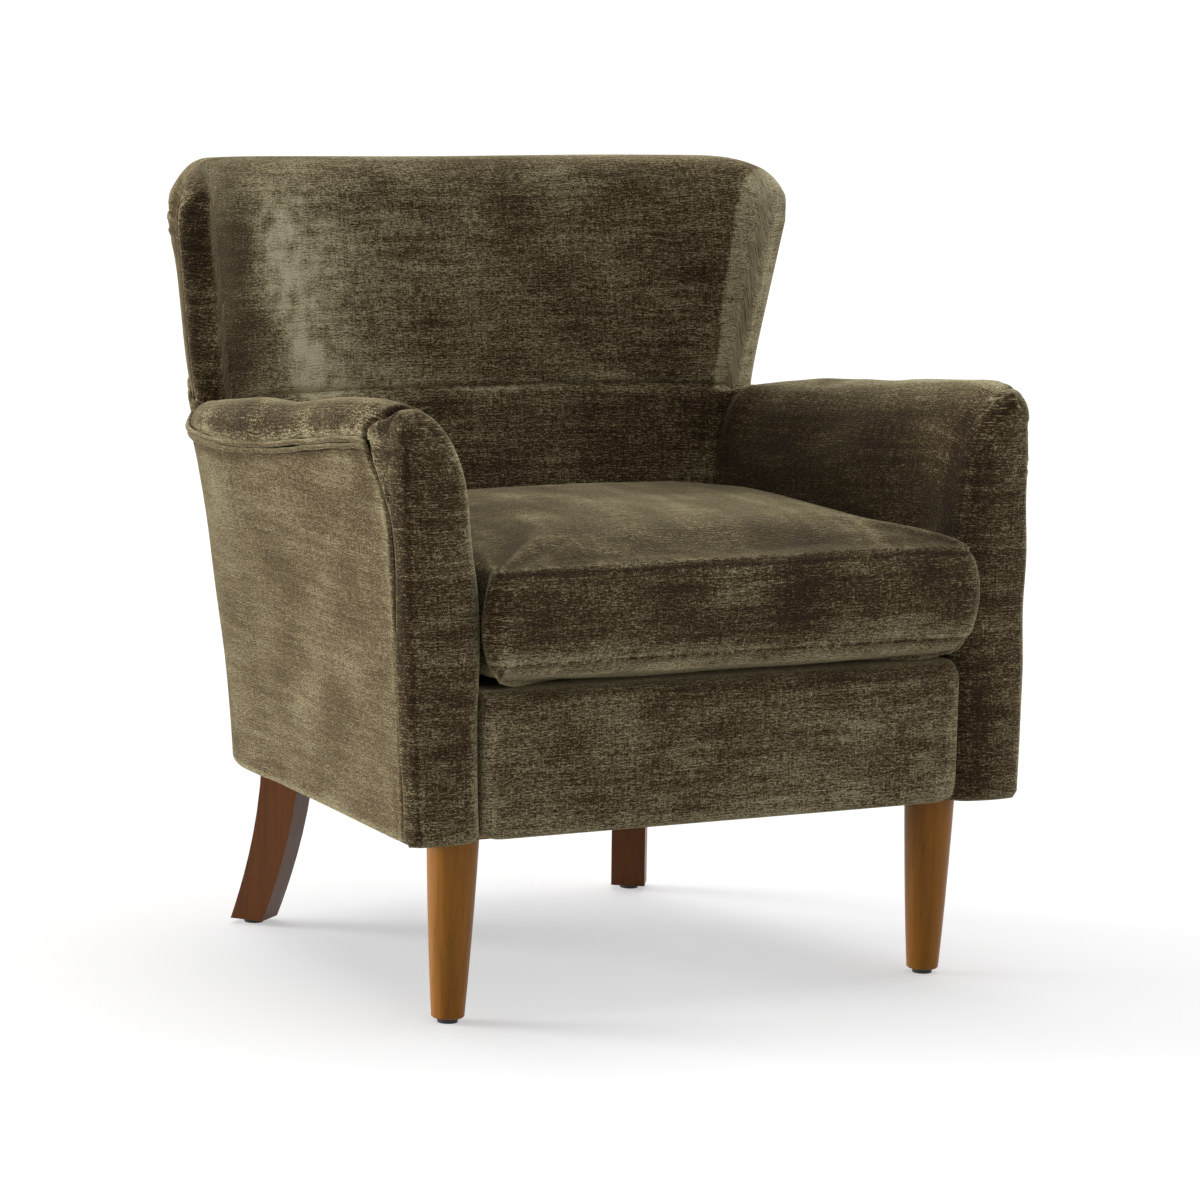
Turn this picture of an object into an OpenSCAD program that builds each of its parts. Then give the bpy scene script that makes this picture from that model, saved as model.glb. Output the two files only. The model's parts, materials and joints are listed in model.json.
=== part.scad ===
// Low wingback armchair: a hardwood frame on four legs, padded and covered, with a loose seat cushion.
// Millimetres. The chair faces -Y and stands on z = 0, with its box centred on x = 0 and y = 0.
// Left and right are the sitter's, so left is +X.

/* [Overall] */
// Width over the arm rolls
chair_w = 776; // [760:1:790]
// Depth from the cushion's front to the rear of the back
chair_d = 702; // [690:1:730]
// Height of the back's top edge
chair_h = 812; // [795:1:840]

/* [Seat] */
// Width between the inside arms
seat_w = 564; // [550:1:570]
// Underside of the upholstery above the floor
hem_z = 188; // [175:1:200]
// Top of the seat deck that the cushion lies on
deck_z = 334; // [328:1:345]
// Front face of the rail behind the cushion's front
rail_setback = 27; // [15:1:35]
// Height of the cushion's boxing between its two seams
boxing_h = 87; // [70:1:95]
// Rise of the cushion's crown above its upper seam
crown_h = 27; // [15:1:35]
// Fall of the cushion's underside below its lower seam
underside_h = 27; // [15:1:30]
// Radius of the cushion's corners in plan
cushion_corner_r = 36; // [25:1:60]

/* [Arms] */
// Height of the arm's crest at the front
arm_front_z = 613; // [605:1:630]
// Height of the crest where it meets the wing
arm_rear_z = 571; // [566:1:578]
// How far the roll stands out past the side panel's top
roll_overhang = 8; // [7:1:14]
// Half width of the roll from its crest to its outermost line
roll_reach = 22; // [18:1:28]
// Outer half width of the arm's front at the hem
arm_foot_x = 364; // [358:1:367]
// Backward lean of the arm's front in degrees
arm_lean_deg = 3.7; // [0:0.1:5]
// Diameter of one cord of the double piping
piping_d = 6; // [5:0.5:7]

/* [Back] */
// Height of the seam across the inside back
back_seam_z = 565; // [552:1:575]
// Radius of the wing's padded edge
wing_r = 24; // [20:1:28]
// Outer half width of the wings near their top
wing_x = 373; // [364:1:382]
// Wing's edge centre in front of the rear face, near the top
wing_reach = 184; // [170:1:196]
// Radius of the rounded top corner of each wing
wing_corner = 67; // [60:1:76]
// Thickness of the back at its top
back_top_t = 76; // [70:1:84]

/* [Legs] */
// Half distance between the front feet
front_foot_x = 285; // [278:1:290]
// Front foot's centre behind the cushion's front
front_foot_in = 78; // [74:1:84]
// Diameter of the front leg at its top
front_leg_top_d = 52; // [46:1:58]
// Diameter of the front leg at its foot
front_leg_foot_d = 33; // [30:1:38]
// Half distance between the rear feet
rear_foot_x = 236; // [230:1:240]
// Rear foot's centre in front of the back's rear face
rear_foot_in = 130; // [124:1:134]
// Sweep of the rear leg between its top and its foot
rear_leg_sweep = 36; // [28:1:42]
// Width of the rear leg at its top, along its sweep
rear_leg_top_w = 45; // [40:1:50]
// Width of the rear leg at its foot
rear_leg_foot_w = 37; // [32:1:40]
// Height of the glide under each leg
glide_h = 5; // [3:0.5:8]

/* [Frame] */
// Thickness of the rails and posts
board_t = 24; // [20:1:26]
// Height of the seat rails
rail_h = 102; // [92:1:108]
// Thickness of the arm stumps and the wing boards
ply_t = 18; // [15:1:20]
// Thickness of the padding on the inside arms
arm_pad_t = 18; // [14:1:19]
// Thickness of the padding on the inside back
back_pad_t = 30; // [26:1:32]
// Thickness of the padding on the fronts of rail and arms
facing_t = 12; // [10:1:14]
// Thickness of the outside panels
panel_t = 4; // [3:0.5:5]

/* [Hidden] */

// Colours
olive = "#5c5538";
olive_pale = "#7d7553";
walnut = "#8a5526";
walnut_dark = "#6b3f1d";
beech = "#c9a878";
steel = "#9a9da0";
felt_black = "#2b2b2b";
foam = "#e6dcb8";

// Clearances: between pieces that meet, round the loose cushion, between boards and panels
touch = 0.3;
cushion_gap = 1.2;
room = 2;
overrun = 1;

// Places along y
front_y = -chair_d / 2;
rear_y = chair_d / 2;
rail_y = front_y + rail_setback;
front_foot_y = front_y + front_foot_in;
rear_foot_y = rear_y - rear_foot_in;

// Plan of the outside shell, at the hem and at arm height: where its side starts to curve, the
// half width there, and how square its rear corners are
tub_run = 315;
tub_y = rear_y - tub_run;
tub_hem_x = 320;
tub_arm_x = chair_w / 2 - roll_overhang;
tub_arm_z = 508;
tub_square_hem = 2.6;
tub_square_arm = 2.1;
tub_bulge = 1.3;
// The rear face leans back by this much up to this height
rear_lean = 65;
rear_face_z = 745;
// The rear seams, as a share of the shell's half width, and where they reach the wings' edges
rear_seam_share = 0.8;
seam_turn_low = 480;
seam_turn_high = 600;

// Inside back: its rake, and the powers of x that curve it and the outside into the wings
back_rake = 0.214;
inside_power = 3;
outside_power = 3.3;
wing_low_x = 344;
wing_low_z = 573;
wing_low_in = 170;
wing_top_z = chair_h - wing_corner;
crest_rise = 6;
corner_power = 2.4;
edge_roll = 28;
pad_rim = 12;
panel_rim = 3;
pad_thinning = 8;
seam_crease = 4;
crease_h = 9;
lumbar_low = deck_z + touch;

// The arm's profile along its length
arm_flare = 12;
arm_arc_h = 108;
arm_end_in = 183;
fall_start = 74;
piping_fall_run = 290;
arm_end_y = rear_y - arm_end_in;
fall_y = rail_y + fall_start;
fall_end_y = fall_y + piping_fall_run;
fall_power = 1.5;
arm_nose = 8;
nose_run = 60;
arm_tail = 8;
tail_run = 16;
roll_turn = 120;
roll_start = 2;
roll_run = 70;
piping_front_z = 569;
piping_fall = 33;
roll_pad_t = 12;

function mix(a, b, t) = a + (b - a) * t;
function limit(t) = min(1, max(0, t));
function smooth(t) = let (u = limit(t)) u * u * (3 - 2 * u);
function flat(rows) = [for (row = rows) each row];
function steps(n) = [for (i = [0:n]) i / n];
function backwards(v) = [for (i = [len(v) - 1:-1:0]) v[i]];

// Outside shell: half width, squareness and rear face at a height
function tub_t(z) = max(0, (z - hem_z) / (tub_arm_z - hem_z));
function tub_a(z) = mix(tub_hem_x, tub_arm_x, pow(tub_t(z), tub_bulge));
function tub_n(z) = mix(tub_square_hem, tub_square_arm, limit(tub_t(z)));
function rear_mid(z) = rear_y - rear_lean * (1 - limit((z - hem_z) / (rear_face_z - hem_z)));
function tub_b(z) = rear_mid(z) - tub_y;
function arc_of(t, n) = pow(1 - pow(limit(t), n), 1 / n);
function tub_x(y, z) = tub_a(z) * arc_of((y - tub_y) / tub_b(z), tub_n(z));
function tub_rear(x, z) = tub_y + tub_b(z) * arc_of(abs(x) / tub_a(z), tub_n(z));

// Arm fronts and the side's straight stretch
arm_lean = tan(arm_lean_deg);
function arm_face_y(z) = rail_y + arm_lean * (z - hem_z);
function arm_back_y(z) = arm_face_y(z) + facing_t + touch;
function arm_side_x(z) = mix(arm_foot_x, tub_arm_x - arm_flare / 2, (z - hem_z) / (tub_arm_z - hem_z));
function side_x(y, z) = y < tub_y
    ? mix(arm_side_x(z), tub_a(z), (y - arm_face_y(z)) / (tub_y - arm_face_y(z)))
    : tub_x(y, z);

// Crest, piping line, roll and inside face of the arm
function fall(t) = pow(sin(90 * limit(t)), fall_power);
function crest_z(y) = mix(arm_front_z, arm_rear_z, fall((y - fall_y) / (arm_end_y - fall_y)))
    - arm_nose * pow(1 - limit((y - rail_y) / nose_run), 2)
    - arm_tail * smooth((y - arm_end_y + tail_run) / tail_run);
function piping_z(y) = piping_front_z - piping_fall * fall((y - fall_y) / (fall_end_y - fall_y));
function roll_x(y) = side_x(y, tub_arm_z) + mix(roll_start, roll_overhang, smooth((y - rail_y) / roll_run));
function crest_x(y) = roll_x(y) - roll_reach;
function roll_low_z(y) = piping_z(y) + piping_d + 2 * touch;
function roll_h(y) = (crest_z(y) - roll_low_z(y)) / (1 - cos(roll_turn));
function arc_z(y) = crest_z(y) - arm_arc_h;
function wall_x(z) = seat_w / 2 + arm_flare * limit((z - deck_z) / (arm_rear_z - arm_arc_h - deck_z));
function arm_in_x(y, z) = z < arc_z(y)
    ? wall_x(z)
    : let (s = limit((z - arc_z(y)) / arm_arc_h))
        crest_x(y) - (crest_x(y) - wall_x(arc_z(y))) * sqrt(1 - s * s);

// Wings: the edge's centre and outermost line, and the two faces of the back
function wing_t(z) = (z - wing_low_z) / (wing_top_z - wing_low_z);
function wing_out_x(z) = mix(wing_low_x, wing_x, min(1, wing_t(z)));
function wing_mid_x(z) = wing_out_x(z) - wing_r;
function wing_mid_y(z) = rear_y - mix(wing_low_in, wing_reach, limit(wing_t(z)));
function inside_mid(z) = rear_y - back_top_t - back_rake * (wing_top_z + wing_corner / 2 - z);
function inside_y(x, z) = inside_mid(z) - (inside_mid(z) - wing_mid_y(z) + wing_r)
    * pow(min(1, abs(x) / wing_mid_x(z)), inside_power);
function outside_high(x, z) = rear_mid(z) - (rear_mid(z) - wing_mid_y(z) - wing_r)
    * pow(min(1, abs(x) / wing_out_x(z)), outside_power);
function outside_y(x, z) = mix(tub_rear(x, z), outside_high(x, z),
    smooth((z - tub_arm_z) / (wing_low_z + wing_corner - tub_arm_z)));
function edge_y(x, z) = (inside_y(x, z) + outside_y(x, z)) / 2;
function pad_t(x) = back_pad_t - pad_thinning * pow(x / wing_x, 2);
function crest_back(x) = chair_h
    - crest_rise * (1 - pow(min(1, abs(x) / (wing_x - wing_corner)), 2))
    - wing_corner * (1 - arc_of((abs(x) - wing_x + wing_corner) / wing_corner, corner_power));
function seam_x(z) = mix(rear_seam_share * tub_a(z), wing_out_x(z),
    smooth((z - seam_turn_low) / (seam_turn_high - seam_turn_low)));

// How far a padded edge has rolled over, from its distance to the outline
function rolled(d, depth) = d >= edge_roll ? 0 : depth * (1 - sqrt(1 - pow(1 - max(0, d) / edge_roll, 2)));

// A padded sheet between two grids of points, seen from its front with rows up and columns right.
// The diagonals of its left half mirror those of its right half.
function four(a, b, c, d) = [[a, b, c], [a, c, d]];
function turned(a, b, c, d) = [[a, b, d], [b, c, d]];
module sheet(front, back) {
    rows = len(front);
    cols = len(front[0]);
    n = rows * cols;
    last_row = (rows - 1) * cols;
    half = (cols - 1) / 2;
    faces = [
        for (r = [0:rows - 2], c = [0:cols - 2])
            let (i = r * cols + c)
                each c < half
                    ? turned(i, i + cols, i + cols + 1, i + 1)
                    : four(i, i + cols, i + cols + 1, i + 1),
        for (r = [0:rows - 2], c = [0:cols - 2])
            let (i = n + r * cols + c)
                each c < half
                    ? turned(i, i + 1, i + cols + 1, i + cols)
                    : four(i, i + 1, i + cols + 1, i + cols),
        for (c = [0:cols - 2])
            each four(c, c + 1, n + c + 1, n + c),
        for (c = [last_row:last_row + cols - 2])
            each four(c + 1, c, n + c, n + c + 1),
        for (r = [0:rows - 2])
            let (i = r * cols)
                each four(i + cols, i, n + i, n + i + cols),
        for (r = [1:rows - 1])
            let (i = r * cols - 1)
                each four(i, i + cols, n + i + cols, n + i)
    ];
    polyhedron(concat(flat(front), flat(back)), faces);
}

// A closed body through a stack of rings, each anticlockwise seen from above, lowest first
module stack(rings) {
    k = len(rings[0]);
    n = len(rings);
    polyhedron(flat(rings), [
        [for (i = [0:k - 1]) i],
        for (r = [0:n - 2], i = [0:k - 1])
            let (a = r * k + i, b = r * k + (i + 1) % k)
                each four(a, a + k, b + k, b),
        [for (i = [k - 1:-1:0]) (n - 1) * k + i]
    ]);
}

// A round cord of the given radius through a list of points
function unit(v) = v / norm(v);
module cord(path, r, sides) {
    last = len(path) - 1;
    stack([for (i = [0:last])
        let (
            d = unit(path[min(last, i + 1)] - path[max(0, i - 1)]),
            u = unit(cross(d, [0, 0, 1])),
            v = cross(d, u)
        )
            [for (k = [0:sides - 1]) path[i] + r * (u * cos(360 * k / sides) + v * sin(360 * k / sides))]]);
}

module mirrored() {
    mirror([1, 0, 0])
        children();
}

module both() {
    children();
    mirrored()
        children();
}

// Seat frame
rail_top = hem_z + rail_h;
rail_front = arm_back_y(rail_top);
rail_back = rail_front + board_t;
stump_inset = arm_pad_t + room;
stump_x = seat_w / 2 + stump_inset;
stump_front = rail_y + facing_t + 2 * touch;
stump_back = stump_front + ply_t;
side_start = stump_back + arm_lean * rail_h + touch;
side_end_in = 221;
side_end = rear_y - side_end_in;
post_out = 190;
post_w = 30;
post_in = post_out - post_w;
post_depth = 40;
function post_front(z) = let (h = max(z, lumbar_low)) inside_y(post_in, h) + pad_t(post_in) + touch;
function post_rear(z) = min(post_front(z) + post_depth, outside_y(post_out, z) - panel_t - 2 * room);
rear_rail_back = post_rear(hem_z);

module front_rail() {
    color(beech)
        difference() {
            translate([-stump_x + touch, rail_front, hem_z])
                cube([2 * (stump_x - touch), board_t, rail_h]);
            nut_relief(front_foot_x, front_foot_y);
        }
}

module rear_rail() {
    color(beech)
        translate([-post_in + touch, rear_rail_back - board_t, hem_z])
            cube([2 * (post_in - touch), board_t, rail_h]);
}

// The side rails run in with the shell's taper
function side_board_x(y) = mix(side_x(side_start, hem_z) - panel_t - 2 * room,
    tub_x(side_end, hem_z) - panel_t - 2 * room, (y - side_start) / (side_end - side_start));

module left_side_rail() {
    color(beech)
        translate([0, 0, hem_z])
            linear_extrude(rail_h)
                polygon([
                    [side_board_x(side_start), side_start],
                    [side_board_x(side_end), side_end],
                    [side_board_x(side_end) - board_t, side_end],
                    [side_board_x(side_start) - board_t, side_start]
                ]);
}

module right_side_rail() {
    mirrored()
        left_side_rail();
}

// Legs, their blocks and fastenings
block_h = 60;
front_block_w = 52;
front_block_d = 60;
bolt_d = 8;
bolt_in_leg = 32;
bolt_room = 0.5;
tee_flange_d = 20;
tee_flange_t = 1.5;
tee_barrel_d = 11;
tee_barrel_h = 12;
glide_d = 22;
glide_pin_d = 3;
glide_pin_h = 12;
sweep_angle = 54;
rear_top_x = rear_foot_x - rear_leg_sweep * cos(sweep_angle);
rear_top_y = rear_foot_y - rear_leg_sweep * sin(sweep_angle);
post_block_room = touch;
block_y_shares = [0, 0.16, 0.32, 0.48, 0.64, 0.8, 0.92];
block_front_y = side_end + touch;
leg_side = 96;

module bolt_bores() {
    translate([0, 0, hem_z - overrun])
        cylinder(h = block_h + 2 * overrun, d = bolt_d + 2 * bolt_room, $fn = leg_side);
    translate([0, 0, hem_z + block_h - tee_barrel_h - touch])
        cylinder(h = tee_barrel_h + 2 * overrun, d = tee_barrel_d + 2 * touch, $fn = leg_side);
}

// Pocket that clears a tee nut's flange
module nut_relief(x, y) {
    both()
        translate([x, y, hem_z + block_h - overrun])
            cylinder(h = tee_flange_t + 2 * room, d = tee_flange_d + room, $fn = leg_side);
}

module front_leg_blocks() {
    x = stump_x - touch;
    y = rail_back + touch;
    color(beech)
        both()
            difference() {
                translate([0, 0, hem_z])
                    linear_extrude(block_h)
                        polygon([
                            [x - front_block_w, y],
                            [x + touch, y],
                            [x + touch, side_start],
                            [side_board_x(side_start) - board_t - touch, side_start],
                            [side_board_x(y + front_block_d) - board_t - touch, y + front_block_d],
                            [x - front_block_w, y + front_block_d]
                        ]);
                translate([front_foot_x, front_foot_y, 0])
                    bolt_bores();
            }
}

module rear_leg_blocks() {
    x = post_out + post_block_room;
    color(beech)
        both()
            difference() {
                translate([0, 0, hem_z])
                    linear_extrude(block_h)
                        polygon(concat(
                            [[x, block_front_y + board_t], [tub_x(block_front_y, hem_z) - 2 * board_t - 2 * room,
                                block_front_y]],
                            [for (s = block_y_shares)
                                let (y = mix(block_front_y, rear_rail_back, s))
                                    [tub_x(y, hem_z) - panel_t - 3 * room, y]],
                            [[x, rear_rail_back]]
                        ));
                translate([rear_top_x, rear_top_y, 0])
                    bolt_bores();
            }
}

// The seat springs' rear rail lies on the rear leg blocks, in front of the posts
spring_rail_h = rail_top - hem_z - block_h - touch;
spring_rail_back = post_front(hem_z) - touch;
module spring_rail() {
    x = tub_x(spring_rail_back, hem_z + block_h) - panel_t - 2 * room;
    color(beech)
        difference() {
            translate([-x, spring_rail_back - board_t, hem_z + block_h + touch])
                cube([2 * x, board_t, spring_rail_h]);
            nut_relief(rear_top_x, rear_top_y);
        }
}

// Turned front leg with a slight swell
leg_h = hem_z - glide_h;
leg_swell = 0.8;
foot_bevel = 1.5;
leg_shares = [0, 0.2, 0.4, 0.6, 0.8, 1];
function leg_r(t) = mix(front_leg_foot_d, front_leg_top_d, t) / 2 + leg_swell * 4 * t * (1 - t);

module leg_bores(place) {
    translate([0, 0, hem_z - bolt_in_leg - touch])
        cylinder(h = bolt_in_leg + overrun, d = bolt_d + 2 * touch, $fn = leg_side);
    translate(concat(place, [glide_h - overrun]))
        cylinder(h = glide_pin_h + overrun + touch, d = glide_pin_d + touch, $fn = leg_side);
}

module left_front_leg() {
    color(walnut)
        translate([front_foot_x, front_foot_y, 0])
            difference() {
                rotate_extrude($fn = leg_side)
                    polygon(concat(
                        [[0, glide_h], [leg_r(0) - foot_bevel, glide_h]],
                        [for (t = leg_shares) [leg_r(t), glide_h + max(foot_bevel, t * leg_h)]],
                        [[0, hem_z]]
                    ));
                leg_bores([0, 0]);
            }
}

module right_front_leg() {
    mirrored()
        left_front_leg();
}

// Sabre rear leg: a flat board sawn to a sweep, turned towards the corner
sweep_power = 1.8;
sweep_shares = [0, 0.08, 0.17, 0.27, 0.38, 0.5, 0.64, 0.8, 1];
function sweep_at(t) = rear_leg_sweep * pow(1 - t, sweep_power);
function leg_half_w(t) = mix(rear_leg_foot_w, rear_leg_top_w, t) / 2;

module left_rear_leg() {
    color(walnut_dark)
        translate([rear_top_x, rear_top_y, 0])
            difference() {
                rotate([0, 0, sweep_angle])
                    translate([0, rear_leg_foot_w / 2, glide_h])
                        rotate([90, 0, 0])
                            linear_extrude(rear_leg_foot_w)
                                polygon(concat(
                                    [for (t = sweep_shares) [sweep_at(t) - leg_half_w(t), t * leg_h]],
                                    [for (t = backwards(sweep_shares)) [sweep_at(t) + leg_half_w(t), t * leg_h]]
                                ));
                leg_bores([rear_leg_sweep * cos(sweep_angle), rear_leg_sweep * sin(sweep_angle)]);
            }
}

module right_rear_leg() {
    mirrored()
        left_rear_leg();
}

module leg_tops() {
    both() {
        translate([front_foot_x, front_foot_y, 0])
            children();
        translate([rear_top_x, rear_top_y, 0])
            children();
    }
}

module hanger_bolts() {
    color(steel)
        leg_tops()
            translate([0, 0, hem_z - bolt_in_leg])
                cylinder(h = bolt_in_leg + block_h - room, d = bolt_d, $fn = leg_side);
}

module tee_nuts() {
    color(steel)
        leg_tops()
            translate([0, 0, hem_z + block_h])
                difference() {
                    union() {
                        translate([0, 0, touch])
                            cylinder(h = tee_flange_t, d = tee_flange_d, $fn = leg_side);
                        translate([0, 0, -tee_barrel_h])
                            cylinder(h = tee_barrel_h + touch + tee_flange_t / 2, d = tee_barrel_d, $fn = leg_side);
                    }
                    translate([0, 0, -tee_barrel_h - overrun])
                        cylinder(h = tee_barrel_h + tee_flange_t + 3 * overrun, d = bolt_d + touch, $fn = leg_side);
                }
}

module glides() {
    color(felt_black)
        both()
            for (p = [[front_foot_x, front_foot_y, 0], [rear_foot_x, rear_foot_y, 0]])
                translate(p) {
                    cylinder(h = glide_h, d1 = glide_d - 2 * overrun, d2 = glide_d, $fn = leg_side);
                    translate([0, 0, glide_h - overrun])
                        cylinder(h = glide_pin_h + overrun, d = glide_pin_d, $fn = leg_side);
                }
}

// The arm's front outline, drawn in by an inset, from its inner foot over the crest to its outer foot
wall_shares = [0.35, 0.7];
arc_angles = [0, 15, 30, 45, 60, 75, 90];
roll_angles = [25, 50, 75, 100, 120];
throat_share = 0.45;
throat_drop = 20;
function arm_outline(y, inset) = let (
        cx = crest_x(y),
        cz = crest_z(y),
        az = arc_z(y),
        w = wall_x(az) + inset,
        h = roll_h(y),
        low = piping_z(y) - throat_drop
    ) concat(
        [[wall_x(hem_z) + inset, hem_z]],
        [for (s = wall_shares) let (z = mix(hem_z, az, s)) [wall_x(z) + inset, z]],
        [for (a = arc_angles) [cx - (cx - w) * cos(a), az + (arm_arc_h - inset) * sin(a)]],
        [for (a = roll_angles) [cx + max(overrun, roll_reach - inset) * sin(a),
            cz - h + max(overrun, h - inset) * cos(a)]],
        [
            [mix(side_x(y, low), roll_x(y), throat_share) - inset, roll_low_z(y) - piping_d],
            [side_x(y, low) - inset, low],
            [arm_side_x(mix(hem_z, low, wall_shares[1])) - inset, mix(hem_z, low, wall_shares[1])],
            [arm_side_x(mix(hem_z, low, wall_shares[0])) - inset, mix(hem_z, low, wall_shares[0])],
            [arm_foot_x - inset, hem_z]
        ]
    );

module left_arm_stump() {
    color(beech)
        translate([0, stump_back, hem_z])
            rotate([90 - arm_lean_deg, 0, 0])
                translate([0, -hem_z, 0])
                    linear_extrude(ply_t)
                        polygon(arm_outline(rail_y, stump_inset));
}

module right_arm_stump() {
    mirrored()
        left_arm_stump();
}

// Padded facing in front of the stump, with its edge rounded
facing_steps = [[0, 7], [0.12, 3.6], [0.4, 1.2], [1, 0]];
module left_arm_front() {
    color(olive)
        stack([for (s = facing_steps)
            [for (p = arm_outline(rail_y, s[1]))
                [p[0], arm_face_y(p[1]) + s[0] * facing_t, p[1]]]]);
}

module right_arm_front() {
    mirrored()
        left_arm_front();
}

// Arm rail sawn to the shell's curve, from the stump to the corner post
arm_rail_z = 478;
arm_rail_h = 28;
arm_rail_front = stump_back + arm_lean * (arm_rail_z + arm_rail_h - hem_z) + touch;
corner_post_in = 133;
corner_front = rear_y - corner_post_in;
corner_d = board_t - room;
corner_w = 30;
corner_in_x = tub_x(corner_front + corner_d, arm_rail_z) - panel_t - 3 * room - corner_w;
arm_rail_shares = [0, 0.25, 0.5, 0.65, 0.78, 0.9, 1];
arm_rail_tail = 20;
arm_rail_turn = arm_end_y + arm_rail_tail;
function arm_rail_out(y) = side_x(y, arm_rail_z) - panel_t - 2 * room;
function arm_rail_in(y) = arm_in_x(min(y, arm_end_y), arm_rail_z + arm_rail_h) + arm_pad_t + room;

module left_arm_rail() {
    ys = [for (s = arm_rail_shares) mix(arm_rail_front, arm_end_y, s)];
    color(beech)
        translate([0, 0, arm_rail_z])
            linear_extrude(arm_rail_h)
                polygon(concat(
                    [for (y = ys) [arm_rail_out(y), y]],
                    [
                        [arm_rail_out(arm_rail_turn), arm_rail_turn],
                        [arm_rail_out(corner_front), corner_front],
                        [arm_rail_out(corner_front + corner_d), corner_front + corner_d],
                        [corner_in_x, corner_front + corner_d],
                        [corner_in_x, corner_front],
                        [arm_rail_out(corner_front) - corner_d, corner_front],
                        [arm_rail_out(arm_rail_turn) - roll_pad_t, arm_rail_turn]
                    ],
                    [for (y = backwards(ys)) [min(arm_rail_in(y), arm_rail_out(y) - roll_pad_t), y]]
                ));
}

module right_arm_rail() {
    mirrored()
        left_arm_rail();
}

// Corner post leaning out with the shell, from the leg block to the arm rail
corner_low_z = hem_z + block_h + touch;
corner_low_x = tub_x(corner_front + corner_d, corner_low_z) - panel_t - 2 * room - corner_w;
module left_corner_post() {
    rise = arm_rail_z - touch - corner_low_z;
    color(beech)
        translate([0, corner_front + corner_d, 0])
            rotate([90, 0, 0])
                linear_extrude(corner_d)
                    polygon([
                        [corner_low_x, corner_low_z],
                        [corner_low_x + corner_w, corner_low_z],
                        [corner_in_x + corner_w, corner_low_z + rise],
                        [corner_in_x, corner_low_z + rise]
                    ]);
}

module right_corner_post() {
    mirrored()
        left_corner_post();
}

// Back frame
post_top_z = wing_top_z + 18;
post_zs = [hem_z, deck_z, 420, tub_arm_z, 600, 700, post_top_z];
module left_back_post() {
    color(beech)
        translate([post_in, 0, 0])
            rotate([90, 0, 90])
                linear_extrude(post_out - post_in)
                    polygon(concat(
                        [for (z = post_zs) [post_rear(z), z]],
                        [for (z = backwards(post_zs)) [post_front(z), z]]
                    ));
}

module right_back_post() {
    mirrored()
        left_back_post();
}

// Rails and webbing that follow the rake, behind the pad
rake_deg = atan(back_rake);
strap_t = 2.5;
strap_w = 50;
strap_places = [-95, 0, 95];
back_rail_h = 50;
lumbar_rail_h = 42;
function webbing_y(x, z) = inside_y(x, z) + pad_t(x) + touch;

module raked_rail(z, h) {
    color(beech)
        translate([-post_in + touch, webbing_y(0, z) + strap_t + touch, z])
            rotate([-rake_deg, 0, 0])
                cube([2 * (post_in - touch), board_t, h]);
}

module back_top_rail() {
    raked_rail(post_top_z - back_rail_h, back_rail_h);
}

module back_lumbar_rail() {
    raked_rail(lumbar_low + room, lumbar_rail_h);
}

module back_webbing() {
    low = lumbar_low + 2 * room;
    high = post_top_z - 2 * room;
    color(felt_black)
        for (x = strap_places)
            sheet(
                [for (s = steps(4)) [for (e = [-0.5, 0.5])
                    let (z = mix(low, high, s)) [x + e * strap_w, webbing_y(0, z), z]]],
                [for (s = steps(4)) [for (e = [-0.5, 0.5])
                    let (z = mix(low, high, s)) [x + e * strap_w, webbing_y(0, z) + strap_t, z]]]
            );
}

// Wing board: plywood standing in the wing, from the back post to near its edge
board_mid_z = 672;
board_low_z = 618;
board_high_z = 722;
board_tip_x = 303;
board_corner = 40;
board_chamfer = 10;
function board_y(x) = (inside_y(x, board_mid_z) + pad_t(x) + outside_y(x, board_mid_z) - panel_t) / 2;

module left_wing_board() {
    x0 = post_out + touch;
    run = [board_tip_x - x0, board_y(board_tip_x) - board_y(x0)];
    long = norm(run);
    color(beech)
        translate([x0, board_y(x0), 0])
            rotate([0, 0, atan2(run[1], run[0])])
                translate([-ply_t / 2 * run[1] / run[0], ply_t / 2, 0])
                    rotate([90, 0, 0])
                        linear_extrude(ply_t)
                            polygon([
                                [0, board_low_z],
                                [long, board_low_z],
                                [long, board_high_z - board_corner],
                                [long - board_chamfer, board_high_z - board_chamfer],
                                [long - board_corner, board_high_z],
                                [0, board_high_z]
                            ]);
}

module right_wing_board() {
    mirrored()
        left_wing_board();
}

// Sinuous springs from the front rail to the spring rail, held in clips
spring_places = [-220, -110, 0, 110, 220];
spring_d = 3.8;
spring_w = 46;
spring_waves = 18;
clip_w = 56;
clip_d = 14;
clip_h = 9;
clip_wall = 2;
deck_t = 12;
spring_start = rail_back - clip_d / 2;
spring_end = spring_rail_back - board_t + clip_d / 2;
spring_low = rail_top + clip_h / 2;
spring_rise = deck_z - deck_t - touch - spring_d / 2 - spring_low;
spring_flat = 0.03;
wave_sides = [[-0.5, 0.1], [-0.32, 0.42], [0.32, 0.58], [0.5, 0.9]];

function spring_path() = [for (i = [0:spring_waves - 1], p = wave_sides)
    let (t = (i + p[1]) / spring_waves, side = i % 2 == 0 ? 1 : -1)
        [side * p[0] * spring_w, mix(spring_start, spring_end, t),
            spring_low + spring_rise * sin(180 * limit((t - spring_flat) / (1 - 2 * spring_flat)))]];

module seat_springs() {
    color(steel)
        for (x = spring_places)
            translate([x, 0, 0])
                cord(spring_path(), spring_d / 2, 5);
}

module spring_clips() {
    color(steel)
        for (x = spring_places, y = [spring_start, spring_end])
            translate([x - clip_w / 2, y - clip_d / 2, rail_top + touch / 3])
                difference() {
                    cube([clip_w, clip_d, clip_h]);
                    translate([-overrun, -overrun, clip_wall])
                        cube([clip_w + 2 * overrun, clip_d + 2 * overrun, clip_h - 2 * clip_wall]);
                }
}

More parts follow.
